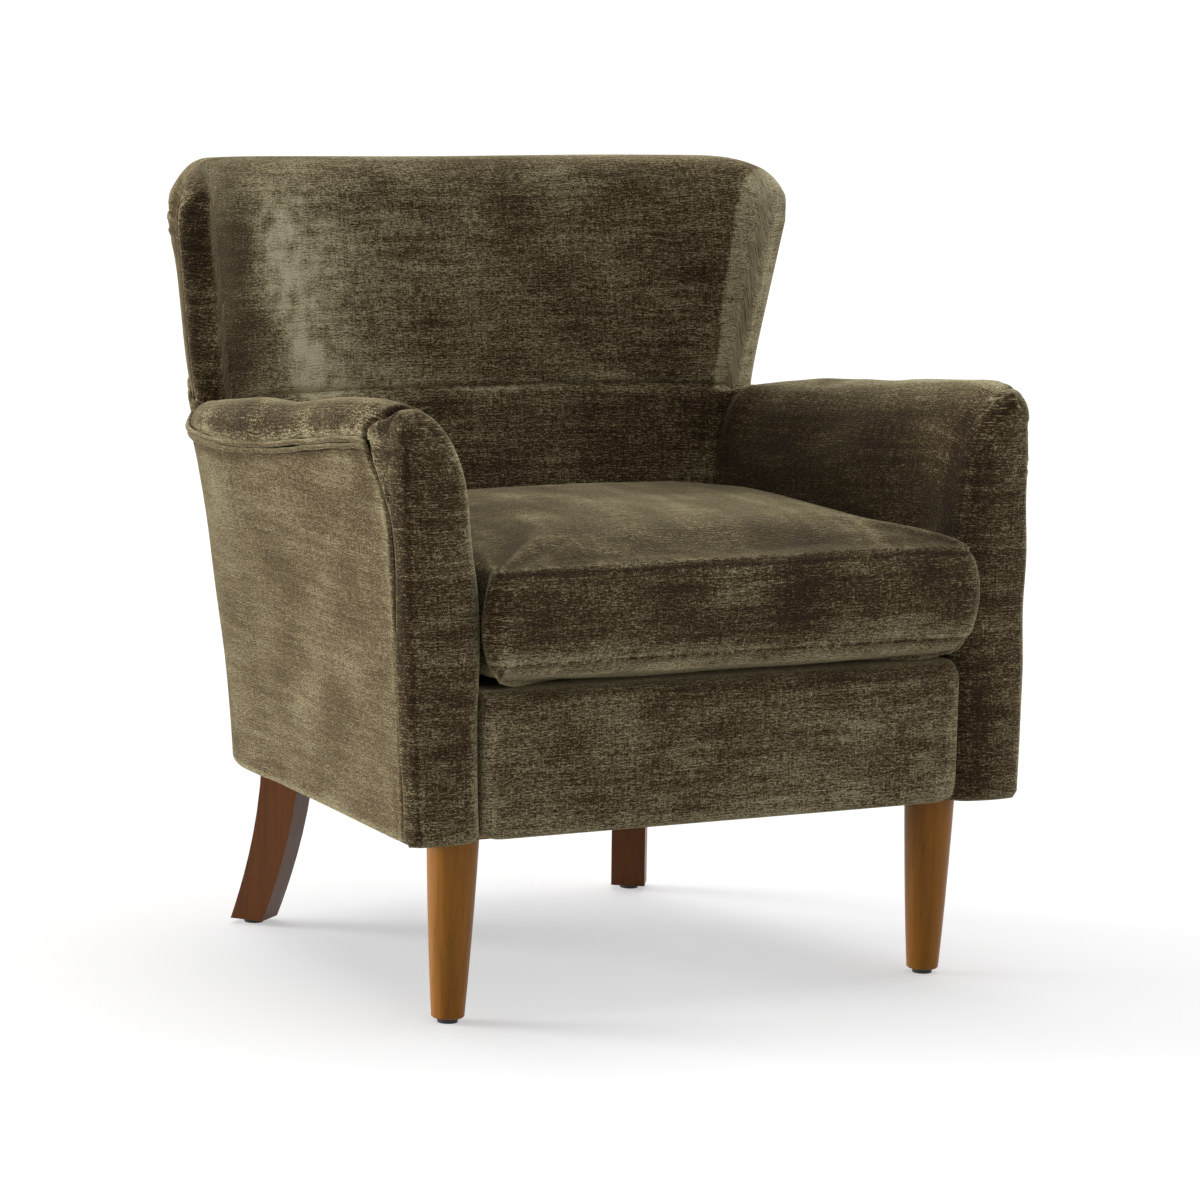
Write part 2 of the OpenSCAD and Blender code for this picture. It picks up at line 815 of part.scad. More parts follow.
// Inside back: columns crowd towards the wings' edges, where the pad rolls over
back_angles = [-90, -82, -75, -68, -60, -50, -38, -25, -12, 0, 12, 25, 38, 50, 60, 68, 75, 82, 90];
back_row_shares = [0, 0.04, 0.16, 0.32, 0.48, 0.64, 0.78, 0.88, 0.95, 1];
function back_z(s, v, low) = mix(low, crest_back(s * wing_x), v);
function inside_point(s, v, low) = let (
        z = back_z(s, v, low),
        x = s * wing_out_x(z),
        d = min(wing_out_x(z) - abs(x), crest_back(s * wing_x) - z),
        crease = seam_crease * max(0, 1 - (z - low) / crease_h)
    ) [x, inside_y(x, z) + crease + rolled(d, edge_y(x, z) - inside_y(x, z) - touch), z];
function inside_back_point(s, v, low) = let (
        high = crest_back(s * wing_x) - pad_rim,
        z = mix(low, high, v),
        x = s * (wing_out_x(z) - pad_rim)
    ) [x, min(inside_y(x, z) + pad_t(x), edge_y(x, z) - touch), z];

module inside_back_pad() {
    color(olive)
        sheet(
            [for (v = back_row_shares) [for (a = back_angles) inside_point(sin(a), v, back_seam_z + touch)]],
            [for (v = back_row_shares) [for (a = back_angles)
                inside_back_point(sin(a), v, back_seam_z + touch)]]
        );
}

// Lumbar band between the arms, down to the seat deck
lumbar_shares = [0, 0.2, 0.4, 0.55, 0.7, 0.82, 0.92, 0.97, 1];
lumbar_angles = [for (a = [-90:10:90]) a];
lumbar_room = 1.5;
function lumbar_half(z) = min(arm_in_x(arm_end_y, z) - lumbar_room, wing_out_x(z) - lumbar_room);
function lumbar_point(s, v) = let (
        z = mix(lumbar_low, back_seam_z, v),
        x = s * lumbar_half(z),
        crease = seam_crease * max(0, 1 - (back_seam_z - z) / crease_h),
        d = wing_out_x(z) - abs(x)
    ) [x, inside_y(x, z) + crease + rolled(d, edge_y(x, z) - inside_y(x, z) - touch), z];
function lumbar_back_point(s, v) = let (
        z = mix(lumbar_low, back_seam_z, v),
        x = s * (lumbar_half(z) - 2 * lumbar_room)
    ) [x, min(inside_y(x, z) + pad_t(x), edge_y(x, z) - touch), z];

module lumbar_pad() {
    color(olive)
        sheet(
            [for (v = lumbar_shares) [for (a = lumbar_angles) lumbar_point(sin(a), v)]],
            [for (v = lumbar_shares) [for (a = lumbar_angles) lumbar_back_point(sin(a), v)]]
        );
}

// Inside arm: up the wall, over the crest and down to the piping, one column for each place along y
arm_low_z = rail_top + touch;
arm_wall_shares = [0, 0.35, 0.7];
arm_column_shares = [0, 0.05, 0.11, 0.2, 0.32, 0.44, 0.56, 0.68, 0.78, 0.87, 0.94, 1];
arm_end_shrink = 0.45;
arm_shrink_share = 0.1;
function arm_pad_line(y, t, shrink) = let (
        cx = crest_x(y),
        cz = crest_z(y),
        az = arc_z(y),
        w = wall_x(az) + t,
        h = roll_h(y)
    ) concat(
        [for (s = arm_wall_shares) let (z = mix(arm_low_z, az, s)) [wall_x(z) + t, z]],
        [for (a = arc_angles) [cx - (cx - w) * cos(a), az + (arm_arc_h - min(t, roll_pad_t)) * sin(a)]],
        [for (a = roll_angles) [cx + (roll_reach * shrink - min(t, roll_pad_t)) * sin(a),
            cz - h + (h - min(t, roll_pad_t)) * cos(a)]]
    );
function arm_pad_grid(t) = let (lines = [for (s = arm_column_shares)
        let (y = mix(arm_end_y, arm_back_y(hem_z), s), shrink = mix(1 - arm_end_shrink, 1, smooth(s / arm_shrink_share)))
            [for (p = arm_pad_line(y, t, shrink)) [p[0], mix(arm_end_y, arm_back_y(p[1]), s), p[1]]]])
    [for (i = [0:len(lines[0]) - 1]) [for (line = lines) line[i]]];

module left_arm_pad() {
    color(olive)
        sheet(arm_pad_grid(0), arm_pad_grid(arm_pad_t));
}

module right_arm_pad() {
    mirrored()
        left_arm_pad();
}

// Outside arm panel: a straight side and the rounded rear corner
panel_row_shares = [0, 0.12, 0.3, 0.5, 0.7, 0.86, 1];
panel_straight_shares = [0, 0.25, 0.5, 0.75, 1];
panel_curve_shares = [0.15, 0.3, 0.45, 0.6, 0.72, 0.8, 0.9, 1];
panel_top_share = 0.72;
function panel_top(u) = u <= 1
    ? piping_z(mix(arm_back_y(piping_front_z), tub_y, u)) + piping_d
    : mix(piping_z(arm_end_y) + piping_d, back_seam_z, smooth((u - 1 - panel_top_share) / (1 - panel_top_share)));
function curve_end(z) = acos(pow(limit((seam_x(z) + room) / tub_a(z)), tub_n(z) / 2));
function panel_point(u, v, inset) = let (z = mix(hem_z, panel_top(u), v)) u <= 1
    ? let (y = mix(arm_back_y(z), tub_y, u)) [side_x(y, z) - inset, y, z]
    : let (a = (u - 1) * curve_end(z), n = tub_n(z))
        [(tub_a(z) - inset) * pow(cos(a), 2 / n), tub_y + (tub_b(z) - inset) * pow(sin(a), 2 / n), z];
function panel_grid(inset) = [for (v = panel_row_shares)
    [for (u = concat(panel_straight_shares, [for (s = panel_curve_shares) 1 + s])) panel_point(u, v, inset)]];

module left_outside_panel() {
    color(olive_pale)
        sheet(panel_grid(0), panel_grid(panel_t));
}

module right_outside_panel() {
    mirrored()
        left_outside_panel();
}

// Outside back, from the hem to the top edge and out to the wings' edges
outside_row_shares = [0, 0.1, 0.2, 0.3, 0.38, 0.46, 0.53, 0.6, 0.68, 0.77, 0.86, 0.92, 0.97, 1];
function outside_point(s, v) = let (
        z = mix(hem_z, crest_back(s * wing_x), v),
        x = s * seam_x(z),
        high = smooth((z - tub_arm_z) / (wing_low_z - tub_arm_z)),
        side = mix(edge_roll, wing_out_x(z) - abs(x), high),
        d = min(side, crest_back(s * wing_x) - z)
    ) [x, outside_y(x, z) - rolled(d, outside_y(x, z) - edge_y(x, z) - touch), z];
// The panel's inner skin is drawn in at the rim and never passes the edge's middle line
rim_power_x = 5;
rim_power_z = 8;
function outside_inner_point(s, v) = let (
        p = outside_point(s, v),
        x = p[0] - sign(s) * panel_rim * pow(abs(s), rim_power_x),
        z = p[2] - panel_rim * pow(v, rim_power_z)
    ) [x, max(p[1] - panel_t, edge_y(x, z) + touch), z];

module outside_back_panel() {
    color(olive_pale)
        sheet(
            [for (v = outside_row_shares) [for (a = backwards(back_angles)) outside_point(sin(a), v)]],
            [for (v = outside_row_shares) [for (a = backwards(back_angles))
                outside_inner_point(sin(a), v)]]
        );
}

// Double piping under the roll
piping_shares = steps(12);
module left_arm_piping() {
    r = piping_d / 2;
    color(olive)
        for (up = [-r - touch / 2, r + touch / 2])
            cord([for (s = piping_shares)
                let (
                    y = mix(arm_back_y(piping_front_z) + touch, arm_end_y, s),
                    z = piping_z(y) + up
                )
                    [side_x(y, z) + r + room, y, z]], r, 6);
}

module right_arm_piping() {
    mirrored()
        left_arm_piping();
}

// Front rail cover: a padded face and a roll over the rail's top, cut away above the spring clips
cover_roll_r = 20;
cover_past_rail = 6;
cover_back = rail_back + cover_past_rail;
cover_lip = 8;
module front_rail_cover() {
    half = seat_w / 2 - touch;
    clip_top = rail_top + clip_h + 2 * touch;
    color(olive)
        translate([-half, 0, 0])
            rotate([90, 0, 90])
                linear_extrude(2 * half)
                    polygon(concat(
                        [[rail_front - touch, hem_z], [rail_y, hem_z]],
                        [for (a = [0:15:90]) [rail_y + cover_roll_r * (1 - cos(a)),
                            deck_z - cover_roll_r * (1 - sin(a))]],
                        [
                            [cover_back, deck_z],
                            [cover_back, clip_top],
                            [rail_front + cover_lip, clip_top],
                            [rail_front + cover_lip, rail_top + touch],
                            [rail_front - touch, rail_top + touch]
                        ]
                    ));
}

// Seat deck on the springs, under the lumbar band at its rear
deck_back = spring_rail_back - room;
deck_corner = 50;
deck_corner_w = 35;
module seat_deck() {
    half = seat_w / 2 - 2 * touch;
    color(felt_black)
        translate([0, 0, deck_z - deck_t])
            linear_extrude(deck_t)
                polygon([
                    [-half, cover_back + touch],
                    [half, cover_back + touch],
                    [half, deck_back - deck_corner],
                    [half - deck_corner_w, deck_back],
                    [deck_corner_w - half, deck_back],
                    [-half, deck_back - deck_corner]
                ]);
}

// Dust cover under the frame, cut round the legs
dust_t = 1.5;
dust_inset = 12;
dust_shares = [0, 0.2, 0.4, 0.55, 0.7, 0.82, 0.92];
module dust_cover() {
    half = [for (s = dust_shares)
        let (y = mix(tub_y, rear_mid(hem_z) - dust_inset, s)) [tub_x(y, hem_z) - dust_inset, y]];
    color(felt_black)
        translate([0, 0, hem_z - dust_t - touch / 3])
            linear_extrude(dust_t)
                difference() {
                    polygon(concat(
                        [[arm_foot_x - dust_inset, rail_front + room]],
                        half,
                        [for (p = backwards(half)) [-p[0], p[1]]],
                        [[dust_inset - arm_foot_x, rail_front + room]]
                    ));
                    both() {
                        translate([front_foot_x, front_foot_y])
                            circle(d = front_leg_top_d + 2 * overrun, $fn = leg_side);
                        translate([rear_top_x, rear_top_y])
                            rotate([0, 0, sweep_angle])
                                square([rear_leg_top_w + 2 * overrun, rear_leg_foot_w + 2 * overrun], center = true);
                    }
                }
}

// Seat cushion: a boxed cover with a crown above and below, and a core inside it
seam_low = deck_z + touch + underside_h;
seam_high = seam_low + boxing_h;
cushion_mid_y = (front_y + inside_mid(seam_low)) / 2;
cover_wall = 3;
side_pull = 4;
boxing_bulge = 3;
front_bulge = 12;
bulge_run = 54;
crown_shares = [0.999, 0.96, 0.88, 0.74, 0.52, 0.24];
boxing_shares = [0.18, 0.5, 0.82];
corner_angles = [0, 18, 36, 54, 72, 90];
side_shares = [0.2, 0.4, 0.6, 0.8];
crown_flatness = 4;
crown_roundness = 0.62;
function crown_of(s) = pow(1 - pow(s, crown_flatness), crown_roundness);
function cushion_rear(x) = inside_y(x, seam_low) - cushion_gap;

// Outline of the cushion at a seam, anticlockwise from above, drawn in by an inset
function cushion_corner(sx, sy, half, y0, y1, turn) = let (r = cushion_corner_r)
    [for (a = corner_angles) let (b = turn + a)
        [sx * (half - r) + r * cos(b), (sy > 0 ? y1 - r : y0 + r) + r * sin(b)]];
function along(p, q) = [for (s = side_shares) mix(p, q, s)];
function cushion_outline(inset) = let (
        half = seat_w / 2 - cushion_gap - inset - boxing_bulge,
        y0 = front_y + inset + boxing_bulge,
        y1 = cushion_rear(0) - inset - boxing_bulge,
        a = cushion_corner(1, 1, half, y0, y1, 0),
        b = cushion_corner(-1, 1, half, y0, y1, 90),
        c = cushion_corner(-1, -1, half, y0, y1, 180),
        d = cushion_corner(1, -1, half, y0, y1, 270),
        end = len(a) - 1
    ) [for (p = concat(a, along(a[end], b[0]), b, along(b[end], c[0]), c, along(c[end], d[0]), d,
            along(d[end], a[0])))
        let (
            u = p[0] / half,
            w = (p[1] - cushion_mid_y) / (y1 - cushion_mid_y),
            rear_drop = (cushion_rear(0) - cushion_rear(half)) * pow(abs(u), inside_power) * pow(max(0, w), 2)
        ) [p[0] * (1 - side_pull / half * max(0, 1 - w * w)
                + front_bulge / half * smooth((front_y + bulge_run - p[1]) / bulge_run)),
            p[1] - rear_drop - side_pull * sign(w) * max(0, 1 - u * u) * smooth(abs(w))]];
function cushion_ring(outline, s, z, bulge) = [for (p = outline)
    let (q = [p[0], p[1] - cushion_mid_y])
        [q[0] * (s + bulge / norm(q)), cushion_mid_y + q[1] * (s + bulge / norm(q)), z]];

module cushion_body(inset) {
    outline = cushion_outline(inset);
    stack(concat(
        [for (s = backwards(crown_shares))
            cushion_ring(outline, s, seam_low - (underside_h - inset) * crown_of(s), 0)],
        [for (t = boxing_shares)
            cushion_ring(outline, 1, mix(seam_low, seam_high, t), boxing_bulge * sin(180 * t))],
        [for (s = crown_shares)
            cushion_ring(outline, s, seam_high + (crown_h - inset) * crown_of(s), 0)]
    ));
}

module cushion_cover() {
    color(olive)
        difference() {
            cushion_body(0);
            cushion_body(cover_wall);
        }
}

module cushion_core() {
    color(foam)
        cushion_body(cover_wall + touch);
}

front_rail();
rear_rail();
spring_rail();
left_side_rail();
right_side_rail();
front_leg_blocks();
rear_leg_blocks();
left_arm_stump();
right_arm_stump();
left_arm_rail();
right_arm_rail();
left_corner_post();
right_corner_post();
left_back_post();
right_back_post();
back_top_rail();
back_lumbar_rail();
left_wing_board();
right_wing_board();
seat_springs();
spring_clips();
back_webbing();
left_front_leg();
right_front_leg();
left_rear_leg();
right_rear_leg();
hanger_bolts();
tee_nuts();
glides();
inside_back_pad();
lumbar_pad();
left_arm_pad();
right_arm_pad();
left_arm_front();
right_arm_front();
left_outside_panel();
right_outside_panel();
outside_back_panel();
left_arm_piping();
right_arm_piping();
front_rail_cover();
seat_deck();
dust_cover();
cushion_cover();
cushion_core();
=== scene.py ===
"""Low wingback armchair in olive chenille, dressed over the part's own solids."""

import json
import math

import bmesh
import bpy
import numpy as np
from mathutils import Matrix, Vector

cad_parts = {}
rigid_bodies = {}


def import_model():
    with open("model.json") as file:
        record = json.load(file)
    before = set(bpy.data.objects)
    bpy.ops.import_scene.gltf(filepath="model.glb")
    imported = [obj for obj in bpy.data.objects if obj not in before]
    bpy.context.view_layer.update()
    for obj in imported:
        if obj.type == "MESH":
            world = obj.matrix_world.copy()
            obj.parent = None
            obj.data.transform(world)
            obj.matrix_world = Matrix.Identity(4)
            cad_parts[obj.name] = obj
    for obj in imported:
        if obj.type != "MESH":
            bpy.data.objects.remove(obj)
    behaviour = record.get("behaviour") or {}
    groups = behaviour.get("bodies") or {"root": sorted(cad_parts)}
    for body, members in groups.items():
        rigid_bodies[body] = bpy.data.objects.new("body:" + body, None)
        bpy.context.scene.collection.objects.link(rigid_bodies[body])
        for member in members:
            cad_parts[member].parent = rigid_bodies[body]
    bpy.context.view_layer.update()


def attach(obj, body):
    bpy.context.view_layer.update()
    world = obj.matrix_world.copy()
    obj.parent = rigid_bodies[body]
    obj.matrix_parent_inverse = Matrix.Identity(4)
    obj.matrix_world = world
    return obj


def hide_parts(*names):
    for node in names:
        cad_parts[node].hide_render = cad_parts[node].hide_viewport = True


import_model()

# Sizes of the part, in millimetres, as its own source gives them
CHAIR_W, CHAIR_D, CHAIR_H = 776, 702, 812
SEAT_W, HEM_Z, DECK_Z = 564, 188, 334
ARM_FRONT_Z, ARM_REAR_Z, ARM_FOOT_X = 613, 571, 364
ROLL_OVERHANG, ROLL_REACH, PIPING_D = 8, 22, 6
BACK_SEAM_Z, WING_R, WING_X, WING_REACH, WING_CORNER, BACK_TOP_T = 565, 24, 373, 184, 67, 76
TOUCH = 0.3
FRONT_Y, REAR_Y = -CHAIR_D / 2, CHAIR_D / 2
RAIL_Y = FRONT_Y + 27
TUB_Y, TUB_HEM_X, TUB_ARM_X, TUB_ARM_Z = REAR_Y - 315, 320, CHAIR_W / 2 - ROLL_OVERHANG, 508
TUB_SQUARE_HEM, TUB_SQUARE_ARM, TUB_BULGE = 2.6, 2.1, 1.3
REAR_LEAN, REAR_FACE_Z, REAR_SEAM_SHARE = 65, 745, 0.8
SEAM_TURN_LOW, SEAM_TURN_HIGH = 480, 600
BACK_RAKE, INSIDE_POWER, OUTSIDE_POWER = 0.214, 3, 3.3
WING_LOW_X, WING_LOW_Z, WING_LOW_IN = 344, 573, 170
WING_TOP_Z = CHAIR_H - WING_CORNER
CREST_RISE, CORNER_POWER, EDGE_ROLL, INSIDE_ROLL = 6, 2.4, 28, 46
LUMBAR_LOW = DECK_Z + TOUCH
ARM_FLARE, ARM_ARC_H, ARM_END_Y = 12, 108, REAR_Y - 183
FALL_Y = RAIL_Y + 74
FALL_END_Y, FALL_POWER = FALL_Y + 290, 1.5
ARM_NOSE, NOSE_RUN, ARM_TAIL, TAIL_RUN = 8, 60, 8, 16
ROLL_TURN, ROLL_START, ROLL_RUN = math.radians(120), 2, 70
PIPING_FRONT_Z, PIPING_FALL, FACING_T = 569, 33, 12
ARM_LEAN = math.tan(math.radians(3.7))
SEAM_LOW = DECK_Z + TOUCH + 27
SEAM_HIGH = SEAM_LOW + 87


def mix(a, b, t):
    return a + (b - a) * t


def limit(t):
    return np.clip(t, 0, 1)


def smooth(t):
    u = limit(t)
    return u * u * (3 - 2 * u)


def rise(d, run):
    """Eases from 0 to 1 while d grows from 0 to its run."""
    return smooth(d / run)


def arc_of(t, n):
    return (1 - limit(t) ** n) ** (1 / n)


def tub_t(z):
    return np.maximum(0, (z - HEM_Z) / (TUB_ARM_Z - HEM_Z))


def tub_a(z):
    return mix(TUB_HEM_X, TUB_ARM_X, tub_t(z) ** TUB_BULGE)


def tub_n(z):
    return mix(TUB_SQUARE_HEM, TUB_SQUARE_ARM, limit(tub_t(z)))


def rear_mid(z):
    return REAR_Y - REAR_LEAN * (1 - limit((z - HEM_Z) / (REAR_FACE_Z - HEM_Z)))


def tub_x(y, z):
    return tub_a(z) * arc_of((y - TUB_Y) / (rear_mid(z) - TUB_Y), tub_n(z))


def tub_rear(x, z):
    return TUB_Y + (rear_mid(z) - TUB_Y) * arc_of(abs(x) / tub_a(z), tub_n(z))


def arm_face_y(z):
    return RAIL_Y + ARM_LEAN * (z - HEM_Z)


def arm_side_x(z):
    return mix(ARM_FOOT_X, TUB_ARM_X - ARM_FLARE / 2, (z - HEM_Z) / (TUB_ARM_Z - HEM_Z))


def side_x(y, z):
    straight = mix(arm_side_x(z), tub_a(z), (y - arm_face_y(z)) / (TUB_Y - arm_face_y(z)))
    return np.where(y < TUB_Y, straight, tub_x(y, z))


def fall(t):
    return np.sin(math.pi / 2 * limit(t)) ** FALL_POWER


def crest_z(y):
    line = mix(ARM_FRONT_Z, ARM_REAR_Z, fall((y - FALL_Y) / (ARM_END_Y - FALL_Y)))
    nose = ARM_NOSE * (1 - limit((y - RAIL_Y) / NOSE_RUN)) ** 2
    return line - nose - ARM_TAIL * rise(y - ARM_END_Y + TAIL_RUN, TAIL_RUN)


def piping_z(y):
    return PIPING_FRONT_Z - PIPING_FALL * fall((y - FALL_Y) / (FALL_END_Y - FALL_Y))


def roll_x(y):
    return side_x(y, TUB_ARM_Z) + mix(ROLL_START, ROLL_OVERHANG, rise(y - RAIL_Y, ROLL_RUN))


def roll_low_z(y):
    return piping_z(y) + PIPING_D + 2 * TOUCH


def wall_x(z):
    return SEAT_W / 2 + ARM_FLARE * limit((z - DECK_Z) / (ARM_REAR_Z - ARM_ARC_H - DECK_Z))


def arm_in_x(y, z):
    foot = crest_z(y) - ARM_ARC_H
    s = limit((z - foot) / ARM_ARC_H)
    crest_x = roll_x(y) - ROLL_REACH
    return np.where(z < foot, wall_x(z), crest_x - (crest_x - wall_x(foot)) * np.sqrt(1 - s * s))


def wing_t(z):
    return (z - WING_LOW_Z) / (WING_TOP_Z - WING_LOW_Z)


def wing_out_x(z):
    return mix(WING_LOW_X, WING_X, np.minimum(1, wing_t(z)))


def wing_mid_y(z):
    return REAR_Y - mix(WING_LOW_IN, WING_REACH, limit(wing_t(z)))


def inside_mid(z):
    return REAR_Y - BACK_TOP_T - BACK_RAKE * (WING_TOP_Z + WING_CORNER / 2 - z)


def inside_y(x, z):
    share = np.minimum(1, abs(x) / (wing_out_x(z) - WING_R))
    return inside_mid(z) - (inside_mid(z) - wing_mid_y(z) + WING_R) * share ** INSIDE_POWER


def outside_y(x, z):
    share = np.minimum(1, abs(x) / wing_out_x(z))
    high = rear_mid(z) - (rear_mid(z) - wing_mid_y(z) - WING_R) * share ** OUTSIDE_POWER
    return mix(tub_rear(x, z), high, smooth((z - TUB_ARM_Z) / (WING_LOW_Z + WING_CORNER - TUB_ARM_Z)))


def edge_y(x, z):
    return (inside_y(x, z) + outside_y(x, z)) / 2


def crest_back(x):
    flat = CREST_RISE * (1 - np.minimum(1, abs(x) / (WING_X - WING_CORNER)) ** 2)
    corner = 1 - arc_of((abs(x) - WING_X + WING_CORNER) / WING_CORNER, CORNER_POWER)
    return CHAIR_H - flat - WING_CORNER * corner


def seam_x(z):
    turn = smooth((z - SEAM_TURN_LOW) / (SEAM_TURN_HIGH - SEAM_TURN_LOW))
    return mix(REAR_SEAM_SHARE * tub_a(z), wing_out_x(z), turn)


def arch(d, run):
    """Height of a quarter arch: 0 at its foot, 1 once d has reached its run."""
    return np.sqrt(1 - (1 - limit(d / run)) ** 2)


def rolled(d, depth, run=EDGE_ROLL):
    """How far a padded edge has rolled over, from its distance to the outline."""
    return depth * (1 - arch(d, run))


def ripple(points, size, seed, waves=12):
    """A smooth random height from about -1 to 1, with hills of about that size in millimetres."""
    rng = np.random.default_rng(seed)
    ways = rng.normal(size=(waves, 3))
    ways /= np.linalg.norm(ways, axis=1)[:, None]
    ways *= (math.pi / (size * rng.uniform(0.7, 1.5, waves)))[:, None]
    turns = rng.uniform(0, 2 * math.pi, waves)
    return np.sin(points @ ways.T + turns).sum(-1) / math.sqrt(waves * 1.2)


def bell(d, width):
    """One at d = 0, falling away over that width."""
    return np.exp(-(d / width) ** 2)


def outward(grid, behind):
    """The normals of a grid of points, pointing away from the given point."""
    n = np.cross(np.gradient(grid, axis=1), np.gradient(grid, axis=0))
    n /= np.maximum(np.linalg.norm(n, axis=-1, keepdims=True), 1e-9)
    return n if (n * (grid - np.array(behind))).sum() > 0 else -n


def lengths(grid, axis, keep):
    """Length run along one axis of a grid, counting only the kept coordinates."""
    step = np.diff(grid[..., keep], axis=axis)
    run = np.linalg.norm(step, axis=-1).cumsum(axis)
    first = np.zeros_like(np.take(run, [0], axis))
    return np.concatenate([first, run], axis)


def distance_to(points, line):
    """Distance from each point to a bent line, and the share of the line passed there."""
    best, share = np.full(points.shape[:-1], 1e9), np.zeros(points.shape[:-1])
    line = np.array(line, float)
    for i, (a, b) in enumerate(zip(line, line[1:])):
        t = limit(((points - a) @ (b - a)) / ((b - a) @ (b - a)))
        d = np.linalg.norm(points - a - t[..., None] * (b - a), axis=-1)
        share = np.where(d < best, (i + t) / (len(line) - 1), share)
        best = np.minimum(best, d)
    return best, share


def run_of(line):
    """Length run along a bent line at each of its points."""
    return np.concatenate([[0], np.linalg.norm(np.diff(line, axis=0), axis=1).cumsum()])


def hand(side):
    return "left" if side > 0 else "right"


def read(data, key, size=3, kind=np.float32):
    """One value of every vertex, edge or corner, as rows of that size."""
    got = np.empty(len(data) * size, kind)
    data.foreach_get(key, got)
    return got.reshape(-1, size)


def put(tree, kind, inputs=(), settings=()):
    """Adds a node with its settings, and its inputs as values or as other nodes' outputs."""
    made = tree.nodes.new(kind)
    for key, value in dict(settings).items():
        setattr(made, key, value)
    for key, value in dict(inputs).items():
        if isinstance(value, bpy.types.NodeSocket):
            tree.links.new(value, made.inputs[key])
        else:
            made.inputs[key].default_value = value
    return made


def first_of(tree, kind, inputs=(), settings=()):
    """The first output of a new node."""
    return put(tree, kind, inputs, settings).outputs[0]


def linear(code):
    """An sRGB hex colour as linear red, green, blue and alpha."""
    levels = [int(code[i:i + 2], 16) / 255 for i in (1, 3, 5)]
    return [c / 12.92 if c <= 0.04045 else ((c + 0.055) / 1.055) ** 2.4 for c in levels] + [1]


def new_material(name):
    made = bpy.data.materials.new(name)
    made.use_nodes = True
    made.node_tree.nodes.clear()
    return made, made.node_tree


def surface_from(tree, inputs, bumps=None, gloss=None):
    """The surface of a material. Bumps are a height, its strength and its depth in metres. Gloss is a
    pattern, with the roughness where it is dark and where it is pale."""
    inputs = dict(inputs)
    if bumps:
        height, strength, depth = bumps
        inputs["Normal"] = first_of(tree, "ShaderNodeBump",
                                    {"Height": height, "Strength": strength, "Distance": depth})
    if gloss:
        pattern, dark, pale = gloss
        limits = {"From Min": 0.3, "From Max": 0.7, "To Min": dark, "To Max": pale}
        inputs["Roughness"] = first_of(tree, "ShaderNodeMapRange", {"Value": pattern, **limits})
    put(tree, "ShaderNodeOutputMaterial", {"Surface": first_of(tree, "ShaderNodeBsdfPrincipled", inputs)})


def coloured(tree, tone, stops, low=0.0, high=1.0):
    """The colours of a tone from low to high, by stops of a place and a colour."""
    share = first_of(tree, "ShaderNodeMapRange", {"Value": tone, "From Min": low, "From Max": high})
    made = put(tree, "ShaderNodeValToRGB", {"Fac": share})
    ends = made.color_ramp.elements
    while len(ends) < len(stops):
        ends.new(0.5)
    for end, (place, code) in zip(ends, stops):
        end.position, end.color = place, linear(code)
    return made.outputs["Color"]


def mottled(tree, place, scale, detail, rough, low=0.0, high=1.0):
    """Random patches, so many to the metre along each axis: 0 where they are low, 1 where high."""
    at = first_of(tree, "ShaderNodeMapping", {"Vector": place, "Scale": scale})
    inputs = {"Vector": at, "Scale": 1.0, "Detail": detail, "Roughness": rough}
    noise = put(tree, "ShaderNodeTexNoise", inputs).outputs["Fac"]
    return first_of(tree, "ShaderNodeMapRange", {"Value": noise, "From Min": low, "From Max": high})


def weighted(tree, *parts):
    """The weighted sum of some outputs."""
    total = 0.0
    for value, weight in parts:
        total = first_of(tree, "ShaderNodeMath", {0: value, 1: weight, 2: total},
                         {"operation": "MULTIPLY_ADD"})
    return total


